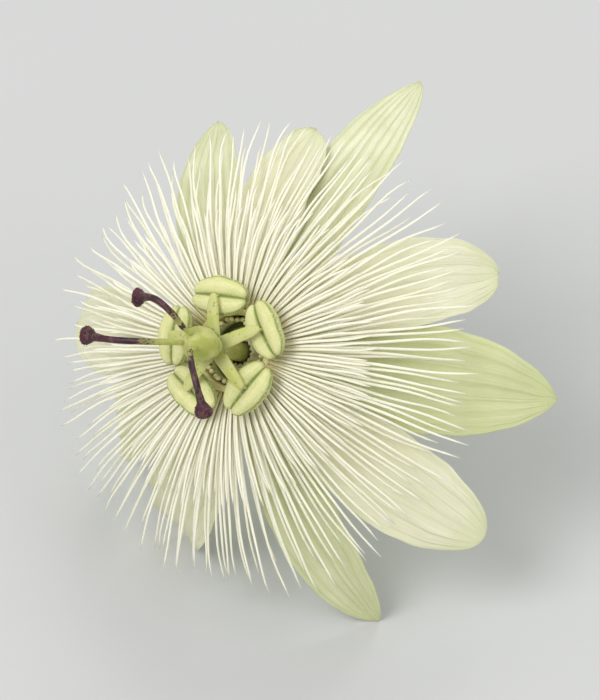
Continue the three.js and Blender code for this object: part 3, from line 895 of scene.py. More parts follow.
def bract_finish(name, colours):
    """Thin light green leaf with a pale midrib and side veins, paler behind."""
    made = Finish(name, tissue_shader(0.16, 1.0))
    along, across, outside = made.values("along", "across", "outside")
    cloud, cells = made.tissue(240.0, 2400.0)
    veins = made.shared("side_veins", {"Along": along, "Across": across})
    made.colour = made.paint(colours.bract, colours.keel, made.times(cloud, 0.35))
    made.coat(colours.bract_vein, veins["Lines"], 0.35)
    made.coat(colours.bract_vein, made.ramp(cells, 0.25, 0.6, 0.0, 0.25))
    made.coat(colours.bract_vein, veins["Midrib"], 0.8)
    made.coat(colours.bract_vein, made.ramp(made.unsigned(across), 0.9, 1.0), 0.6)
    made.coat(colours.bract_vein, outside, 0.3)
    furrows = made.times(made.maths("MAXIMUM", veins["Lines"], veins["Midrib"]), -0.6)
    made.relief(made.plus(made.times(cells, 0.25), furrows), 0.14)
    return made.done(made.ramp(cells, 0.2, 0.7, 0.42, 0.6))


def stem_finish(name, main, rib_colour, speck_colour):
    """Green skin with paler ribs and a few darker specks, for the cup and the stalk."""
    made = Finish(name, tissue_shader(0.12, 0.9))
    (ribs,) = made.values("across")
    cloud, cells = made.tissue(260.0, 2600.0)
    made.colour = made.paint(main, speck_colour, made.times(cloud, 0.4))
    made.coat(rib_colour, made.ramp(ribs, 0.2, 1.0, 0.0, 0.3))
    made.coat(speck_colour, made.specks(800.0, 0.22), 0.5)
    made.relief(cells, 0.06)
    return made.done(made.ramp(cells, 0.2, 0.7, 0.4, 0.58))


def cut_finish(name, colours):
    """Wet cut end of the stalk: pale pith in a ring of green."""
    made = Finish(name, {"Roughness": 0.3})
    (ring,) = made.values("outside")
    cloud, cells = made.tissue(900.0, 5200.0)
    made.colour = made.paint(colours.pith, colours.stalk, made.ramp(ring, 0.55, 0.95))
    made.coat(colours.bract_vein, cloud, 0.5)
    made.relief(cells, 0.08)
    return made.done()


def floor_finish(name, colour):
    """Plain pale matt paper."""
    made = Finish(name, {"Roughness": 0.85, "Specular IOR Level": 0.2})
    cloud, cells = made.tissue(3.0, 900.0)
    made.colour = made.paint(colour, tuple(0.97 * part for part in colour), cloud)
    made.relief(cells, 0.02)
    return made.done()


# ---------------------------------------------------------------- pieces


class PASSION_OT_calyx_cup(bpy.types.Operator):
    """Make the ribbed cup that carries the petals"""

    bl_idname = "passion.calyx_cup"
    bl_label = "Cup"

    # radius and height over the cup's base, up its outside
    outside = (
        (0, 0), (CUP["foot"] * 0.6, 0), (CUP["foot"], 0), (3.2, 0.28), (4.3, 0.7), (5.5, 1.34),
        (6.6, 2.1), (7.5, 3.0), (8.2, 3.9), (8.6, 4.6), (8.9, 5.4),
    )
    # radius and height under the rim, down its inside
    inside = (
        (8.0, 0), (CUP["lip"], 0), (6.3, -0.5), (5.5, -0.95), (4.8, -1.6), (4.4, -2.3), (4.3, -2.9),
        (3.9, -3.7), (3.4, -CUP["depth"]), (1.5, -CUP["depth"]), (0, -CUP["depth"]),
    )

    def execute(self, context):
        form, colours = context.scene.flower_form, context.scene.flower_colours
        rim, bevel = CUP["rim"], CUP["bevel"]
        edge = [(rim, -bevel), (rim - bevel / 3, -bevel / 3), (rim - bevel, 0)]
        body = new_body()
        turned_body(
            body, [(r, CUP_BASE + z) for r, z in self.outside] + edge + list(self.inside),
            CUP["ribs"] * 12, self.ribbed,
        )
        finish = stem_finish("cup_skin", colours.cup, colours.flush, colours.stalk)
        add_piece(body, "cup_shell", "calyx_cup", [finish], form.rounding)
        return {"FINISHED"}

    def ribbed(self, r, angle, z):
        """The ribs run up the outside, from its foot to just under its rim."""
        rib = cos(CUP["ribs"] * angle)
        on_side = z < -0.5 and r > CUP["foot"] + 0.1 and r > 8.9 + 0.9 * z
        depth = CUP["rib_height"] * (rib - 1) if on_side else 0.0
        return r + depth, {"along": (z - CUP_BASE) / -CUP_BASE, "across": rib}


class PASSION_OT_sepals(bpy.types.Operator):
    """Make the five sepals, ivory in front and green and keeled behind"""

    bl_idname = "passion.sepals"
    bl_label = "Sepals"

    keel_half_width = 0.14
    horn_rings = 8
    horn_foot = (0.62, 0.95)  # half widths of the horn where it leaves the keel
    horn_tip = 0.1

    def execute(self, context):
        form, colours = context.scene.flower_form, context.scene.flower_colours
        finish = tepal_finish("sepal_tissue", colours, colours.sepal_front, colours.sepal_shade, True)
        for number, sepal in enumerate(SEPALS, 1):
            body = new_body()
            stations = tepal_stations(sepal, SEPAL)
            self.add_blade(body, sepal, stations, form, number)
            self.add_horn(body, sepal, stations)
            add_piece(
                body, f"sepal_blade_{number}", f"sepal_{number}", [finish], form.rounding,
            )
        return {"FINISHED"}

    def keel_at(self, u, v):
        """The keel grows along the back and runs out beyond the horn."""
        ridge = max(0.0, 1 - abs(v) / self.keel_half_width) ** 0.8
        return SEPAL["keel"] * smooth(u, 0, 0.3) * ridge * mix(1, 0.3, smooth(u, 0.8, 0.92))

    def add_blade(self, body, sepal, stations, form, number):
        def lift_at(u, v, half_width):
            cupped = sepal["cup"] * smooth(u, 0.2, 0.9) * v * v * half_width
            waves = 0.1 * smooth(u, 0.1, 0.5) * v * v * sin(14 * u + 2 * number + 1.5 * v)
            pleats = 0.09 * cos(9 * v + 0.5 * sin(4 * u + number)) * smooth(u, 0.05, 0.3)
            return cupped + waves + pleats * (1 - smooth(u, 0.8, 1)) - self.keel_at(u, v)

        flat = thinning(form.sepal_thickness / MM, form.edge_thickness / MM)

        def thickness_at(u, v):
            groove = 0.16 * bump(v, 0, 0.06) * (1 - smooth(u, 0.75, 1))
            return flat(u, v) + self.keel_at(u, v) - groove

        blade(body, sepal, SEPAL, stations, lift_at, thickness_at, sepal["green"])

    def add_horn(self, body, sepal, stations):
        """A curved horn stands on the back of the keel, just short of the tip."""
        foot = min(stations, key=lambda station: abs(station.u - SEPAL["horn_at"]))
        sunk, reach = 0.5, sepal["horn"] + SEPAL["thickness"] / 2 - 0.3
        places = []
        for share in evenly(self.horn_rings):
            at = foot.beside(0, -mix(sunk, reach, share), 1.1 * share * share - 0.4)
            axis = (foot.face * -1 + foot.along * (0.6 * share)).normalized()
            places.append(Station(foot.u, at, axis, foot.side))

        def section(k):
            return [mix(half, self.horn_tip, k / self.horn_rings) for half in self.horn_foot]

        bent_rod(body, 8, places, section, outside=1.0, across=0.0)


class PASSION_OT_petals(bpy.types.Operator):
    """Make the five petals, ivory on both faces"""

    bl_idname = "passion.petals"
    bl_label = "Petals"

    def execute(self, context):
        form, colours = context.scene.flower_form, context.scene.flower_colours
        finish = tepal_finish("petal_tissue", colours, colours.ivory, colours.ivory_shade, False)
        for number, petal in enumerate(PETALS, 1):
            body = new_body()
            self.add_blade(body, petal, form, number)
            add_piece(
                body, f"petal_blade_{number}", f"petal_{number}", [finish], form.rounding,
            )
        return {"FINISHED"}

    def add_blade(self, body, petal, form, number):
        def lift_at(u, v, half_width):
            cupped = petal["cup"] * smooth(u, 0.1, 0.8) * v * v * half_width
            twisted = petal["twist"] * smooth(u, 0.1, 0.6) * v * half_width
            waved = petal["wave"] * smooth(u, 0.35, 0.8) * v ** 3 * sin(11 * u + petal["angle"])
            ruffle = form.ruffle / MM * smooth(u, 0.15, 0.5) * v ** 4 * sin(26 * u + 3 * number + 2 * v)
            pleats = 0.1 * cos(11 * v + 0.8 * number + 0.9 * sin(4 * u + number)) * smooth(u, 0.05, 0.3)
            swell = 0.16 * sin(10 * u + 1.7 * number + 2 * v) * smooth(u, 0.2, 0.5) * (1 - v * v)
            return cupped + twisted + waved + ruffle + pleats * (1 - smooth(u, 0.85, 1)) + swell

        flat = thinning(form.petal_thickness / MM, form.edge_thickness / MM)

        def thickness_at(u, v):
            return flat(u, v) - 0.14 * bump(v, 0, 0.06) * (1 - smooth(u, 0.7, 1))

        blade(
            body, petal, PETAL, tepal_stations(petal, PETAL), lift_at, thickness_at,
            draw(number, PETAL_SERIES),
        )


class PASSION_OT_bracts(bpy.types.Operator):
    """Make the three leafy bracts behind the flower"""

    bl_idname = "passion.bracts"
    bl_label = "Bracts"

    def execute(self, context):
        form = context.scene.flower_form
        finish = bract_finish("bract_leaf", context.scene.flower_colours)
        flat = thinning(BRACT["thinned_to"], form.edge_thickness / MM)
        for number, bract in enumerate(BRACTS, 1):
            body = new_body()
            stations = midline(
                polar(BRACT["start"], bract["angle"], BRACT["at"]), bract["length"], blade_shares(),
                lambda u: BRACT["pitch"] + BRACT["bend"] * u, lambda u: bract["angle"],
            )

            def lift_at(u, v, half_width):
                cupped = 0.3 * smooth(u, 0, 0.5) * v * v * half_width
                return cupped + 0.12 * v * v * smooth(u, 0.1, 0.4) * sin(17 * u + number + v)

            blade(
                body, bract, BRACT, stations, lift_at,
                lambda u, v: flat(u, v) - 0.1 * bump(v, 0, 0.05), draw(number, BRACT_SERIES),
            )
            add_piece(
                body, f"bract_leaf_{number}", f"bract_{number}", [finish], form.rounding,
            )
        return {"FINISHED"}


def add_ring(body, rank, shoulder, steps):
    """The ring with rounded shoulders that a rank of filaments stands on."""
    (inner, outer), (inner_foot, outer_foot), top = rank["ring"], rank["foot"], rank["top"]
    turned_body(body, [
        (inner, inner_foot), (outer, outer_foot), (outer, top - shoulder), (outer - shoulder, top),
        (inner + shoulder, top), (inner, top - shoulder), (inner, inner_foot),
    ], steps)


class PASSION_OT_long_filaments(bpy.types.Operator):
    """Make the two ranks of long filaments, each on its ring"""

    bl_idname = "passion.long_filaments"
    bl_label = "Long Filaments"

    rings = 14
    tip = 0.35  # width of the last ring, as a share of the width there
    layer_drop = 0.35  # each layer starts this much lower
    layer_droop = 1.5  # and hangs this many degrees lower
    layer_loss = 0.07  # and is this share shorter

    def execute(self, context):
        form = context.scene.flower_form
        finish = filament_finish("filament_thread", context.scene.flower_colours)
        for name, rank, series, node_name in (
            ("outer_filaments", OUTER_RANK, OUTER_SERIES, "corona_outer_rank"),
            ("inner_filaments", INNER_RANK, INNER_SERIES, "corona_inner_rank"),
        ):
            body = new_body()
            add_ring(body, rank, 0.25, 72)
            for i in range(rank["count"]):
                for layer in range(form.threads):
                    self.add_thread(body, rank, i, series, layer, form.thread_width / MM)
            add_piece(body, name, node_name, [finish])
        return {"FINISHED"}

    def add_thread(self, body, rank, i, series, layer, width):
        """The first layer keeps the line of the solid's filament, and the next ones fill in."""
        stray, lean, droop, phase, growth, tone = (
            draw(i + 500 * layer, series + share) for share in range(6)
        )
        angle = 360 / rank["count"] * (i + 0.5 * layer) + 0.25 * stray
        bend = rank["bend"] + (4 * droop - self.layer_droop * layer)
        start = radians(180 * phase)
        length = rank["length"] * (1 + 0.06 * growth) * (1 - self.layer_loss * layer)
        radius, height = rank["root"]

        def waver(u, shift=0.0):
            return 7 * u * u * sin(start + 9 * u) + 5 * u ** 4 * sin(2.3 * start + shift + 13 * u)

        stations = midline(
            polar(radius, angle, height - self.layer_drop * layer), length, evenly(self.rings),
            lambda u: rank["pitch"] + bend * u + waver(u),
            lambda u: angle + 2.2 * lean * u + waver(u, 1.6),
        )

        def section(k):
            half = through(rank["width"], stations[k].u) / 2 * (width / rank["width"][1])
            if k == self.rings:
                half *= self.tip
            return half * 1.1, half * 0.9

        bent_rod(body, 5, stations, section, tone=tone)


class PASSION_OT_short_filaments(bpy.types.Operator):
    """Make the ring of short filaments with round heads"""

    bl_idname = "passion.short_filaments"
    bl_label = "Short Filaments"

    shares = (0, 0.3, 0.58, 0.66, 0.74, 0.82, 0.9, 0.96, 1)
    halves = (0.2, 0.16, 0.16, 0.26, 0.37, 0.4, 0.36, 0.24, 0.08)
    sunk = 0.4  # how deep each foot stands in the ring

    def execute(self, context):
        body = new_body()
        add_ring(body, SHORT_RANK, 0.1, 60)
        for i in range(SHORT_RANK["count"]):
            stray, growth, lean, tone = (draw(i, SHORT_SERIES + share) for share in range(4))
            angle = 360 / SHORT_RANK["count"] * i + 1.2 * stray
            stations = midline(
                polar(sum(SHORT_RANK["ring"]) / 2, angle, SHORT_RANK["top"] - self.sunk),
                SHORT_RANK["stem"] * (1 + 0.18 * growth) + self.sunk, self.shares,
                lambda u: 96 + 5 * lean, lambda u: angle,
            )
            bent_rod(body, 8, stations, lambda k: (self.halves[k], self.halves[k]), tone=tone)
        finish = short_filament_finish("short_filament", context.scene.flower_colours)
        add_piece(body, "short_filaments", "corona_short_rank", [finish])
        return {"FINISHED"}


class PASSION_OT_operculum(bpy.types.Operator):
    """Make the pleated skirt in the throat"""

    bl_idname = "passion.operculum"
    bl_label = "Operculum"

    def execute(self, context):
        foot, foot_at, mouth, mouth_at, thickness, pleats = OPERCULUM.values()
        wall = thickness * 0.75
        outside = [
            (mix(foot, mouth, u ** 1.4), mix(foot_at, mouth_at, math.sqrt(u) * 0.4 + u * 0.6))
            for u in evenly(8)
        ]
        inside = [(r - wall, z - wall) for r, z in reversed(outside)]

        def pleated(r, angle, z):
            fold = cos(pleats * angle)
            # across is highest in the inward folds, which the skin's finish darkens as painted shade
            values = {"along": (z - foot_at) / (mouth_at - foot_at), "across": -fold}
            return r + 0.16 * smooth(z, foot_at, mouth_at) * fold, values

        body = new_body()
        turned_body(body, outside + inside + outside[:1], pleats * 10, pleated)
        finish = membrane_finish("operculum_skin", context.scene.flower_colours)
        add_piece(body, "operculum_skirt", "operculum", [finish])
        return {"FINISHED"}


STRAP_RINGS = 12


def strap_stations(angle):
    return midline(
        polar(COLUMN["radius"] * 0.3, angle, COLUMN["top"] - 1.05), STRAP["reach"], evenly(STRAP_RINGS),
        lambda u: mix(STRAP["rise"], STRAP["drop"], u), lambda u: angle,
    )


class PASSION_OT_column(bpy.types.Operator):
    """Make the column and the five straps that carry the anthers"""

    bl_idname = "passion.column"
    bl_label = "Column"

    def execute(self, context):
        radius, flare, foot, top = COLUMN.values()
        profile = [
            (0, foot), (flare * 0.8, foot), (flare, foot + 0.15), (flare, foot + 0.7),
            (radius * 1.3, foot + 1.2), (radius * 1.12, foot + 1.7), (radius, foot + 3.4),
            (radius * 0.97, mix(foot, top, 0.5)), (radius * 0.94, top - 3.6),
            (radius * 1.05, top - 1.8), (radius * 1.16, top - 0.3), (radius * 1.1, top - 0.08),
            (radius * 0.9, top), (0, top),
        ]
        body = new_body()
        turned_body(body, profile, 40, lambda r, angle, z: (
            r * (1 + 0.02 * cos(5 * angle + 0.5)), {"along": (z - foot) / (top - foot)}))
        for number, stamen in enumerate(STAMENS):
            tone = draw(number, STRAP_SERIES)
            bent_rod(body, 12, strap_stations(stamen["angle"]), self.strap_section, tone=tone)
        form, colours = context.scene.flower_form, context.scene.flower_colours
        finish = column_finish("column_skin", colours)
        add_piece(body, "stamen_column", "androgynophore", [finish], form.rounding)
        return {"FINISHED"}

    def strap_section(self, k):
        """A strap tapers all along, and faster toward its tip."""
        u = k / STRAP_RINGS
        half = mix(*STRAP["width"], u) / 2
        out = STRAP["thickness"] / 2 * mix(1, 0.7, smooth(u, 0.7, 1))
        return half * mix(1, 0.55, smooth(u, 0.8, 1)), out


def add_grain(body, radius, place, **values):
    """A small round grain of few faces."""
    grain = bmesh.ops.create_icosphere(
        body, subdivisions=1, radius=radius, matrix=Matrix.Translation(place),
    )
    for vert in grain["verts"]:
        mark(body, vert, **values)


class PASSION_OT_anthers(bpy.types.Operator):
    """Make the five anthers, each of two lobes with pollen along their sides"""

    bl_idname = "passion.anthers"
    bl_label = "Anthers"

    rings = 26
    sides = 44
    sag = 0.3  # how far the ends hang below the middle
    crown_at = 0.46  # where each lobe is highest, as a share of the half width
    drop = STRAP["thickness"] / 2 + SEAT + ANTHER["height"] / 2 + 0.15  # from a strap's middle line
    joint_widths = (0.26, 0.26, 0.22, 0.2, 0.28, 0.42)

    def execute(self, context):
        form, colours = context.scene.flower_form, context.scene.flower_colours
        finishes = [anther_finish("anther_lobe", colours), pollen_finish("pollen", colours)]
        for number, stamen in enumerate(STAMENS):
            tip = strap_stations(stamen["angle"])[-1]
            body = new_body()
            self.add_lobes(body, number)
            self.add_pollen(body, number, form)
            self.hang(body, stamen, tip)
            self.add_joint(body, tip)
            on_grain = body.verts.layers.float["outside"]
            for face in body.faces:
                face.material_index = round(face.verts[0][on_grain])
            add_piece(body, f"anther_lobes_{number + 1}", f"anther_{number + 1}", finishes)
        return {"FINISHED"}

    def surface(self, x, turn, number):
        """A point on the two long lobes, with x from -1 to 1 along them and turn round them."""
        length, width, height = ANTHER.values()
        fullness = max(0.0, 1 - x * x) ** 0.4
        c = cos(turn)
        lobe = math.sqrt(max(0.0, 1 - ((abs(c) - self.crown_at) / (1 - self.crown_at)) ** 2))
        uneven = 1 + 0.03 * sin(4 * x + 2 * number + c) + 0.02 * sin(9 * x + number)
        aside = width / 2 * fullness * c * uneven
        out = height / 2 * fullness * math.copysign(lobe, sin(turn)) - self.sag * x * x
        notch = 1 - 0.09 * bump(aside, 0, 0.45)
        return Vector((length / 2 * x * notch, aside, out))

    def add_lobes(self, body, number):
        for vert in straight_rod(body, self.sides, self.rings):
            k = round(vert.co.z * self.rings)
            x = -cos(math.pi * (k + 0.25) / (self.rings + 0.5))
            turn = math.atan2(vert.co.y, vert.co.x)
            mark(body, vert, along=x, across=cos(turn), tone=draw(number, ANTHER_SERIES))
            vert.co = self.surface(x, turn, number)

    def add_pollen(self, body, number, form):
        """Clumps of pollen sit along the side seams, under the lobes and a few on top."""
        for i in range(form.grains):
            x, side, turn, size, tone = (
                draw(i + 1000 * number, POLLEN_SERIES + share) for share in range(5)
            )
            side = math.copysign(1, side)
            turn = math.pi / 2 * (1 - side) + side * radians(-20 + 46 * turn)
            add_grain(
                body, form.grain_size / MM / 2 * (1 + 0.35 * size),
                self.surface(0.93 * x, turn, number) * 0.985, tone=tone, outside=1.0,
            )
        take_fresh(body)

    def hang(self, body, stamen, tip):
        """The anther hangs crosswise under the tip of its strap."""
        crosswise = radians(stamen["angle"] + 90 + stamen["yaw"])
        turned = Euler((radians(stamen["roll"]), 0, crosswise), "XYZ").to_matrix().to_4x4()
        place = Matrix.Translation(tip.beside(0, -self.drop)) @ turned
        bmesh.ops.transform(body, matrix=place, verts=body.verts)

    def add_joint(self, body, tip):
        """A short thread runs from the tip of the strap down into the groove."""
        top, bottom = tip.beside(0, 0, -0.6), tip.beside(0, 0.3 - self.drop)
        way = (bottom - top).normalized()
        places = [Station(share, top.lerp(bottom, share), way, tip.side) for share in evenly(5)]
        bent_rod(
            body, 10, places, lambda k: (self.joint_widths[k], self.joint_widths[k]),
            along=0.0, across=0.12, outside=0.0, tone=0.0,
        )


class PASSION_OT_ovary(bpy.types.Operator):
    """Make the ovary on top of the column"""

    bl_idname = "passion.ovary"
    bl_label = "Ovary"

    rings = 22
    plug = 1.0  # radius of the foot that stands in the column

    def execute(self, context):
        radius, foot, length = OVARY.values()
        shares = [(i + 0.5) / self.rings for i in range(self.rings)]
        side = [(radius * sin(math.pi * u ** 0.82) ** 0.62, foot + length * u) for u in shares]
        sunk = foot - 2 * SEAT

        def ribbed(r, angle, z):
            rib = cos(3 * angle)
            return r * (1 + 0.035 * rib), {"along": (z - foot) / length, "across": rib}

        body = new_body()
        turned_body(body, [
            (0, sunk), (self.plug, sunk), (self.plug, foot), *side, (0, foot + length),
        ], 48, ribbed)
        form, colours = context.scene.flower_form, context.scene.flower_colours
        add_piece(body, "ovary_body", "ovary", [ovary_finish("ovary_skin", colours)], form.rounding)
        return {"FINISHED"}


KNOT_POWER = 0.5  # the knots of a curve are as far apart as its chords' lengths to this power


def spaced_along(points, count):
    """Evenly spaced places on a smooth curve through points, the directions of the curve there
    and its length."""
    before = points[0] * 2 - points[1]
    after = points[-1] * 2 - points[-2]
    line = [before, *points, after]
    gaps = [(b - a).length ** KNOT_POWER for a, b in zip(line, line[1:])]
    fine = []
    for k in range(1, len(line) - 2):
        (a, b, c, d), (first, middle, last) = line[k - 1:k + 3], gaps[k - 1:k + 2]
        leave = ((b - a) / first - (c - a) / (first + middle) + (c - b) / middle) * middle
        arrive = ((c - b) / middle - (d - b) / (middle + last) + (d - c) / last) * middle
        fine += interpolate_bezier(b, b + leave / 3, c - arrive / 3, c, 40)[:-1]
    fine.append(points[-1])
    run = [0.0]
    for a, b in zip(fine, fine[1:]):
        run.append(run[-1] + (b - a).length)
    places, ways = [], []
    k = 0
    for share in evenly(count):
        wanted = share * run[-1]
        while k < len(run) - 2 and run[k + 1] < wanted:
            k += 1
        part = (wanted - run[k]) / (run[k + 1] - run[k])
        places.append(fine[k].lerp(fine[k + 1], part))
        ways.append((fine[k + 1] - fine[k]).normalized())
    return places, ways, run[-1]


class PASSION_OT_styles(bpy.types.Operator):
    """Make the three styles that arch out of the ovary, each with its stigma"""

    bl_idname = "passion.styles"
    bl_label = "Styles"

    rings = 48
    warts = 150
    wart_radius = 0.1
    bow = ((0, -0.08), (0.08, 0.42), (0.3, 0.86), (0.62, 0.98), (1, 0.62))  # shares of reach and rise
    # share along a style, and its half width and half height there as shares of its radius
    swelling = ((0, 0.8, 0.8), (0.24, 1, 1), (0.7, 1.08, 1.05), (0.82, 1.35, 1.2), (0.88, 2.4, 1.6),
                (0.93, 2.9, 1.85), (0.965, 2.75, 1.65), (0.99, 1.9, 1.1), (1, 1.1, 0.6))

    def execute(self, context):
        finish = style_finish("style_skin", context.scene.flower_colours)
        for number, style in enumerate(STYLES, 1):
            stations = self.style_stations(style)
            body = new_body()
            bent_rod(body, 14, stations, lambda k: self.section(stations[k].u), outside=0.0)
            self.add_papillae(body, stations, number)
            add_piece(body, f"style_and_stigma_{number}", f"style_{number}", [finish])
        return {"FINISHED"}

    def section(self, share):
        for low, high in zip(self.swelling, self.swelling[1:]):
            if share <= high[0]:
                part = smooth(share, low[0], high[0])
                return [STYLE["radius"] * mix(low[i], high[i], part) for i in (1, 2)]
        raise ValueError("a share along a style runs from 0 to 1")

    def style_stations(self, style):
        top = OVARY["foot"] + OVARY["length"]
        points = [
            polar(STYLE["root"] + style["reach"] * out, style["angle"] + style["swing"] * out,
                  top + STYLE["rise"] * up)
            for out, up in self.bow
        ]
        places, ways, _ = spaced_along(points, self.rings)
        axis = Vector((0, 0, 1))
        return [
            Station(u, at, way, axis.cross(way).normalized())
            for u, at, way in zip(evenly(self.rings), places, ways)
        ]

    def add_papillae(self, body, stations, number):
        """Small warts cover the stigma."""
        for i in range(self.warts):
            share, turn, size = (
                draw(i + 1000 * number, PAPILLA_SERIES + share) for share in range(3)
            )
            station = stations[round((0.935 + 0.055 * share) * self.rings)]
            across, out = self.section(station.u)
            place = station.beside(across * cos(math.pi * turn), out * sin(math.pi * turn))
            # outside 1 marks the warts, which the style's finish paints paler purple as a painted highlight
            add_grain(body, self.wart_radius * (1 + 0.35 * size), place, along=1.0, outside=1.0)


class PASSION_OT_stalk(bpy.types.Operator):
    """Make the stalk, from the cup past the bracts to its cut end on the surface"""

    bl_idname = "passion.stalk"
    bl_label = "Stalk"

    rings = 90
    sides = 20
    insets = ((0.2, 0.02), (0.35, 0.08), (0.5, 0.04))  # share and dip of each ring of the cut end

    def execute(self, context):
        colours = context.scene.flower_colours
        centre = FLOWER_TO_ROW.translation
        end = FLOWER_TO_ROW.inverted() @ Vector((
            centre.x + STALK_END[0] * MM, centre.y + STALK_END[1] * MM, STALK["radius"] * STALK["lie"] * MM,
        ))

        def back(z):
            return Vector((0, 0, z))

        points = [
            back(CUP_BASE + SEAT), back(CUP_BASE - SEAT - 3), back(BRACT["at"]), back(BRACT["at"] - 4),
            back(BRACT["at"] - 20).lerp(end, 0.1), end.lerp(back(BRACT["at"]), 0.2), end,
        ]
        places, ways, total = spaced_along(points, self.rings)
        side = Vector((1, 0, 0))
        stations = []
        for u, at, way in zip(evenly(self.rings), places, ways):
            side = (side - way * side.dot(way)).normalized()
            stations.append(Station(u, at, way, side))

        def section(k):
            run = stations[k].u * total
            neck = (STALK["neck"] - STALK["radius"]) * max(0, 1 - run / STALK["neck_length"])
            swelling = (STALK["node"] - STALK["radius"]) * bump(run, STALK["node_at"], STALK["node_length"])
            r = STALK["radius"] + neck + swelling
            return r, r

        body = new_body()
        bent_rod(body, self.sides, stations, section)
        self.groove(body, stations)
        self.cut(body, stations[-1])
        finishes = [
            stem_finish("stalk_skin", colours.stalk, colours.bract_vein, colours.keel),
            cut_finish("cut_end", colours),
        ]
        add_piece(body, "cut_stalk", "stalk", finishes)
        return {"FINISHED"}

    def groove(self, body, stations):
        """Shallow ribs run along the stalk and turn slowly round it."""
        along, across, outside = (body.verts.layers.float[name] for name in VALUES[:3])
        for vert in body.verts:
            turn = math.atan2(vert[outside], vert[across])
            rib = cos(5 * turn + 2 * vert[along])
            station = stations[round(vert[along] * self.rings)]
            vert.co += (station.at - vert.co) * (0.06 + 0.03 * (1 - rib))
            mark(body, vert, across=rib, outside=1.0)

    def cut(self, body, last):
        """Insets the end face so that the pith shows inside the skin."""
        end = min(
            (face for face in body.faces if len(face.verts) == self.sides),
            key=lambda face: (face.calc_center_median() - last.at).length,
        )
        for share, dip in self.insets:
            bmesh.ops.inset_region(body, faces=[end], thickness=share, depth=-dip)
            for vert in end.verts:
                mark(body, vert, outside=(vert.co - last.at).length / STALK["radius"])
        for face in body.faces:
            if all((vert.co - last.at).length < STALK["radius"] * 1.08 for vert in face.verts):
                if abs(face.normal.dot(last.along)) > 0.5:
                    face.material_index = 1


# ---------------------------------------------------------------- stage


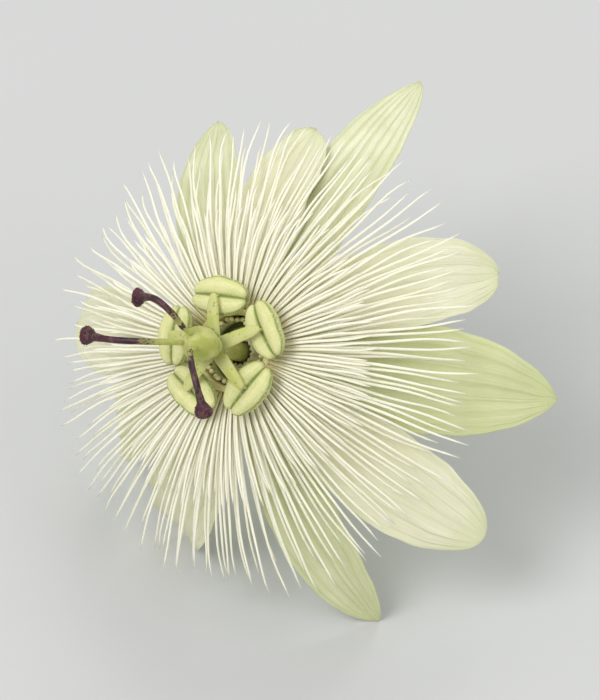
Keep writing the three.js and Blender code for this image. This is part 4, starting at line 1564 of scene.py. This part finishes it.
class PASSION_OT_stage(bpy.types.Operator):
    """Make the floor, the soft lights and the camera"""

    bl_idname = "passion.stage"
    bl_label = "Stage"

    frame_width = 600
    frame_height = 700
    sensor = 36.0
    floor_radius = 6.0
    lights = (
        # name, setting, azimuth from the camera, elevation, distance, size
        ("key_light", "key", -52, 52, 1.3, 0.7),
        ("fill_light", "fill", 58, 30, 1.4, 0.9),
        ("back_light", "back", 165, 48, 1.3, 0.6),
    )

    def execute(self, context):
        scene = context.scene
        studio = scene.flower_studio
        self.add_floor(studio)
        scene.camera = self.add_camera(studio)
        middle = (cad_bounds[0] + cad_bounds[1]) / 2
        for name, setting, azimuth, elevation, distance, size in self.lights:
            lamp = bpy.data.lights.new(name, "AREA")
            lamp.shape = "DISK"
            lamp.size = size
            lamp.energy = getattr(studio, setting)
            away = self.way(studio.azimuth + radians(azimuth), radians(elevation))
            self.place(lamp, middle, away, distance).visible_camera = False
        scene.world = bpy.data.worlds.new("soft_sky")
        scene.world.use_nodes = True
        background = scene.world.node_tree.nodes["Background"].inputs
        background["Color"].default_value = (1.0, 1.0, 1.0, 1.0)
        background["Strength"].default_value = studio.sky
        scene.view_settings.view_transform = "Standard"
        return {"FINISHED"}

    def way(self, azimuth, elevation):
        """From the flower toward a place round it. Azimuth 0 is in front of it."""
        return Vector((sin(azimuth) * cos(elevation), -cos(azimuth) * cos(elevation), sin(elevation)))

    def place(self, looker, aim, away, distance):
        """Places a light or a camera at a distance from its aim, which it faces."""
        placed = bpy.data.objects.new(looker.name, looker)
        placed.location = aim + away * distance
        placed.rotation_euler = (-away).to_track_quat("-Z", "Y").to_euler()
        bpy.context.scene.collection.objects.link(placed)
        return placed

    def add_floor(self, studio):
        body = bmesh.new()
        bmesh.ops.create_circle(body, cap_ends=True, segments=96, radius=self.floor_radius)
        add_object(body, "pale_floor", [floor_finish("pale_paper", tuple(studio.floor))])

    def add_camera(self, studio):
        """A long lens looks at the middle of what the solids cover in the frame."""
        back = self.way(studio.azimuth, studio.elevation)
        right = Vector((cos(studio.azimuth), sin(studio.azimuth), 0))
        points = [vert.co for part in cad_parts.values() for vert in part.data.vertices]
        aim, widths = Vector(), []
        for axis in (right, back.cross(right), back):
            reaches = [axis.dot(point) for point in points]
            aim += axis * (max(reaches) + min(reaches)) / 2
            widths.append(max(reaches) - min(reaches))
        across, rise, _ = widths
        tall = max(rise, across * self.frame_height / self.frame_width) * (1 + 2 * studio.margin)
        camera = bpy.data.cameras.new("camera")
        camera.lens = studio.lens / MM
        camera.sensor_width = self.sensor
        camera.clip_start = 0.01
        return self.place(camera, aim, back, tall * studio.lens / MM / self.sensor)


# ---------------------------------------------------------------- panel and registration

OPERATORS = (
    PASSION_OT_stage,
    PASSION_OT_stalk,
    PASSION_OT_bracts,
    PASSION_OT_calyx_cup,
    PASSION_OT_sepals,
    PASSION_OT_petals,
    PASSION_OT_long_filaments,
    PASSION_OT_short_filaments,
    PASSION_OT_operculum,
    PASSION_OT_column,
    PASSION_OT_anthers,
    PASSION_OT_ovary,
    PASSION_OT_styles,
)


class PASSION_PT_flower(bpy.types.Panel):
    """Sizes, colours and pieces of the flower"""

    bl_idname = "PASSION_PT_flower"
    bl_label = "White Passion Flower"
    bl_space_type = "VIEW_3D"
    bl_region_type = "UI"
    bl_category = "Passion Flower"

    def draw(self, context):
        scene = context.scene
        for settings in (scene.flower_form, scene.flower_colours, scene.flower_studio):
            box = self.layout.box()
            for name in settings.__annotations__:
                box.prop(settings, name)
        for operator in OPERATORS:
            self.layout.operator(operator.bl_idname)


SETTINGS = {"flower_form": FlowerForm, "flower_colours": FlowerColours, "flower_studio": Studio}


def register():
    for made in (*SETTINGS.values(), *OPERATORS, PASSION_PT_flower):
        bpy.utils.register_class(made)
    for name, settings in SETTINGS.items():
        setattr(bpy.types.Scene, name, PointerProperty(type=settings))


def unregister():
    for name in SETTINGS:
        delattr(bpy.types.Scene, name)
    for made in reversed((*SETTINGS.values(), *OPERATORS, PASSION_PT_flower)):
        bpy.utils.unregister_class(made)


def main():
    register()
    bpy.ops.passion.stage()
    bpy.ops.passion.stalk()
    bpy.ops.passion.bracts()
    bpy.ops.passion.calyx_cup()
    bpy.ops.passion.sepals()
    bpy.ops.passion.petals()
    bpy.ops.passion.long_filaments()
    bpy.ops.passion.short_filaments()
    bpy.ops.passion.operculum()
    bpy.ops.passion.column()
    bpy.ops.passion.anthers()
    bpy.ops.passion.ovary()
    bpy.ops.passion.styles()
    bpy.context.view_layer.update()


if __name__ == "__main__":
    main()
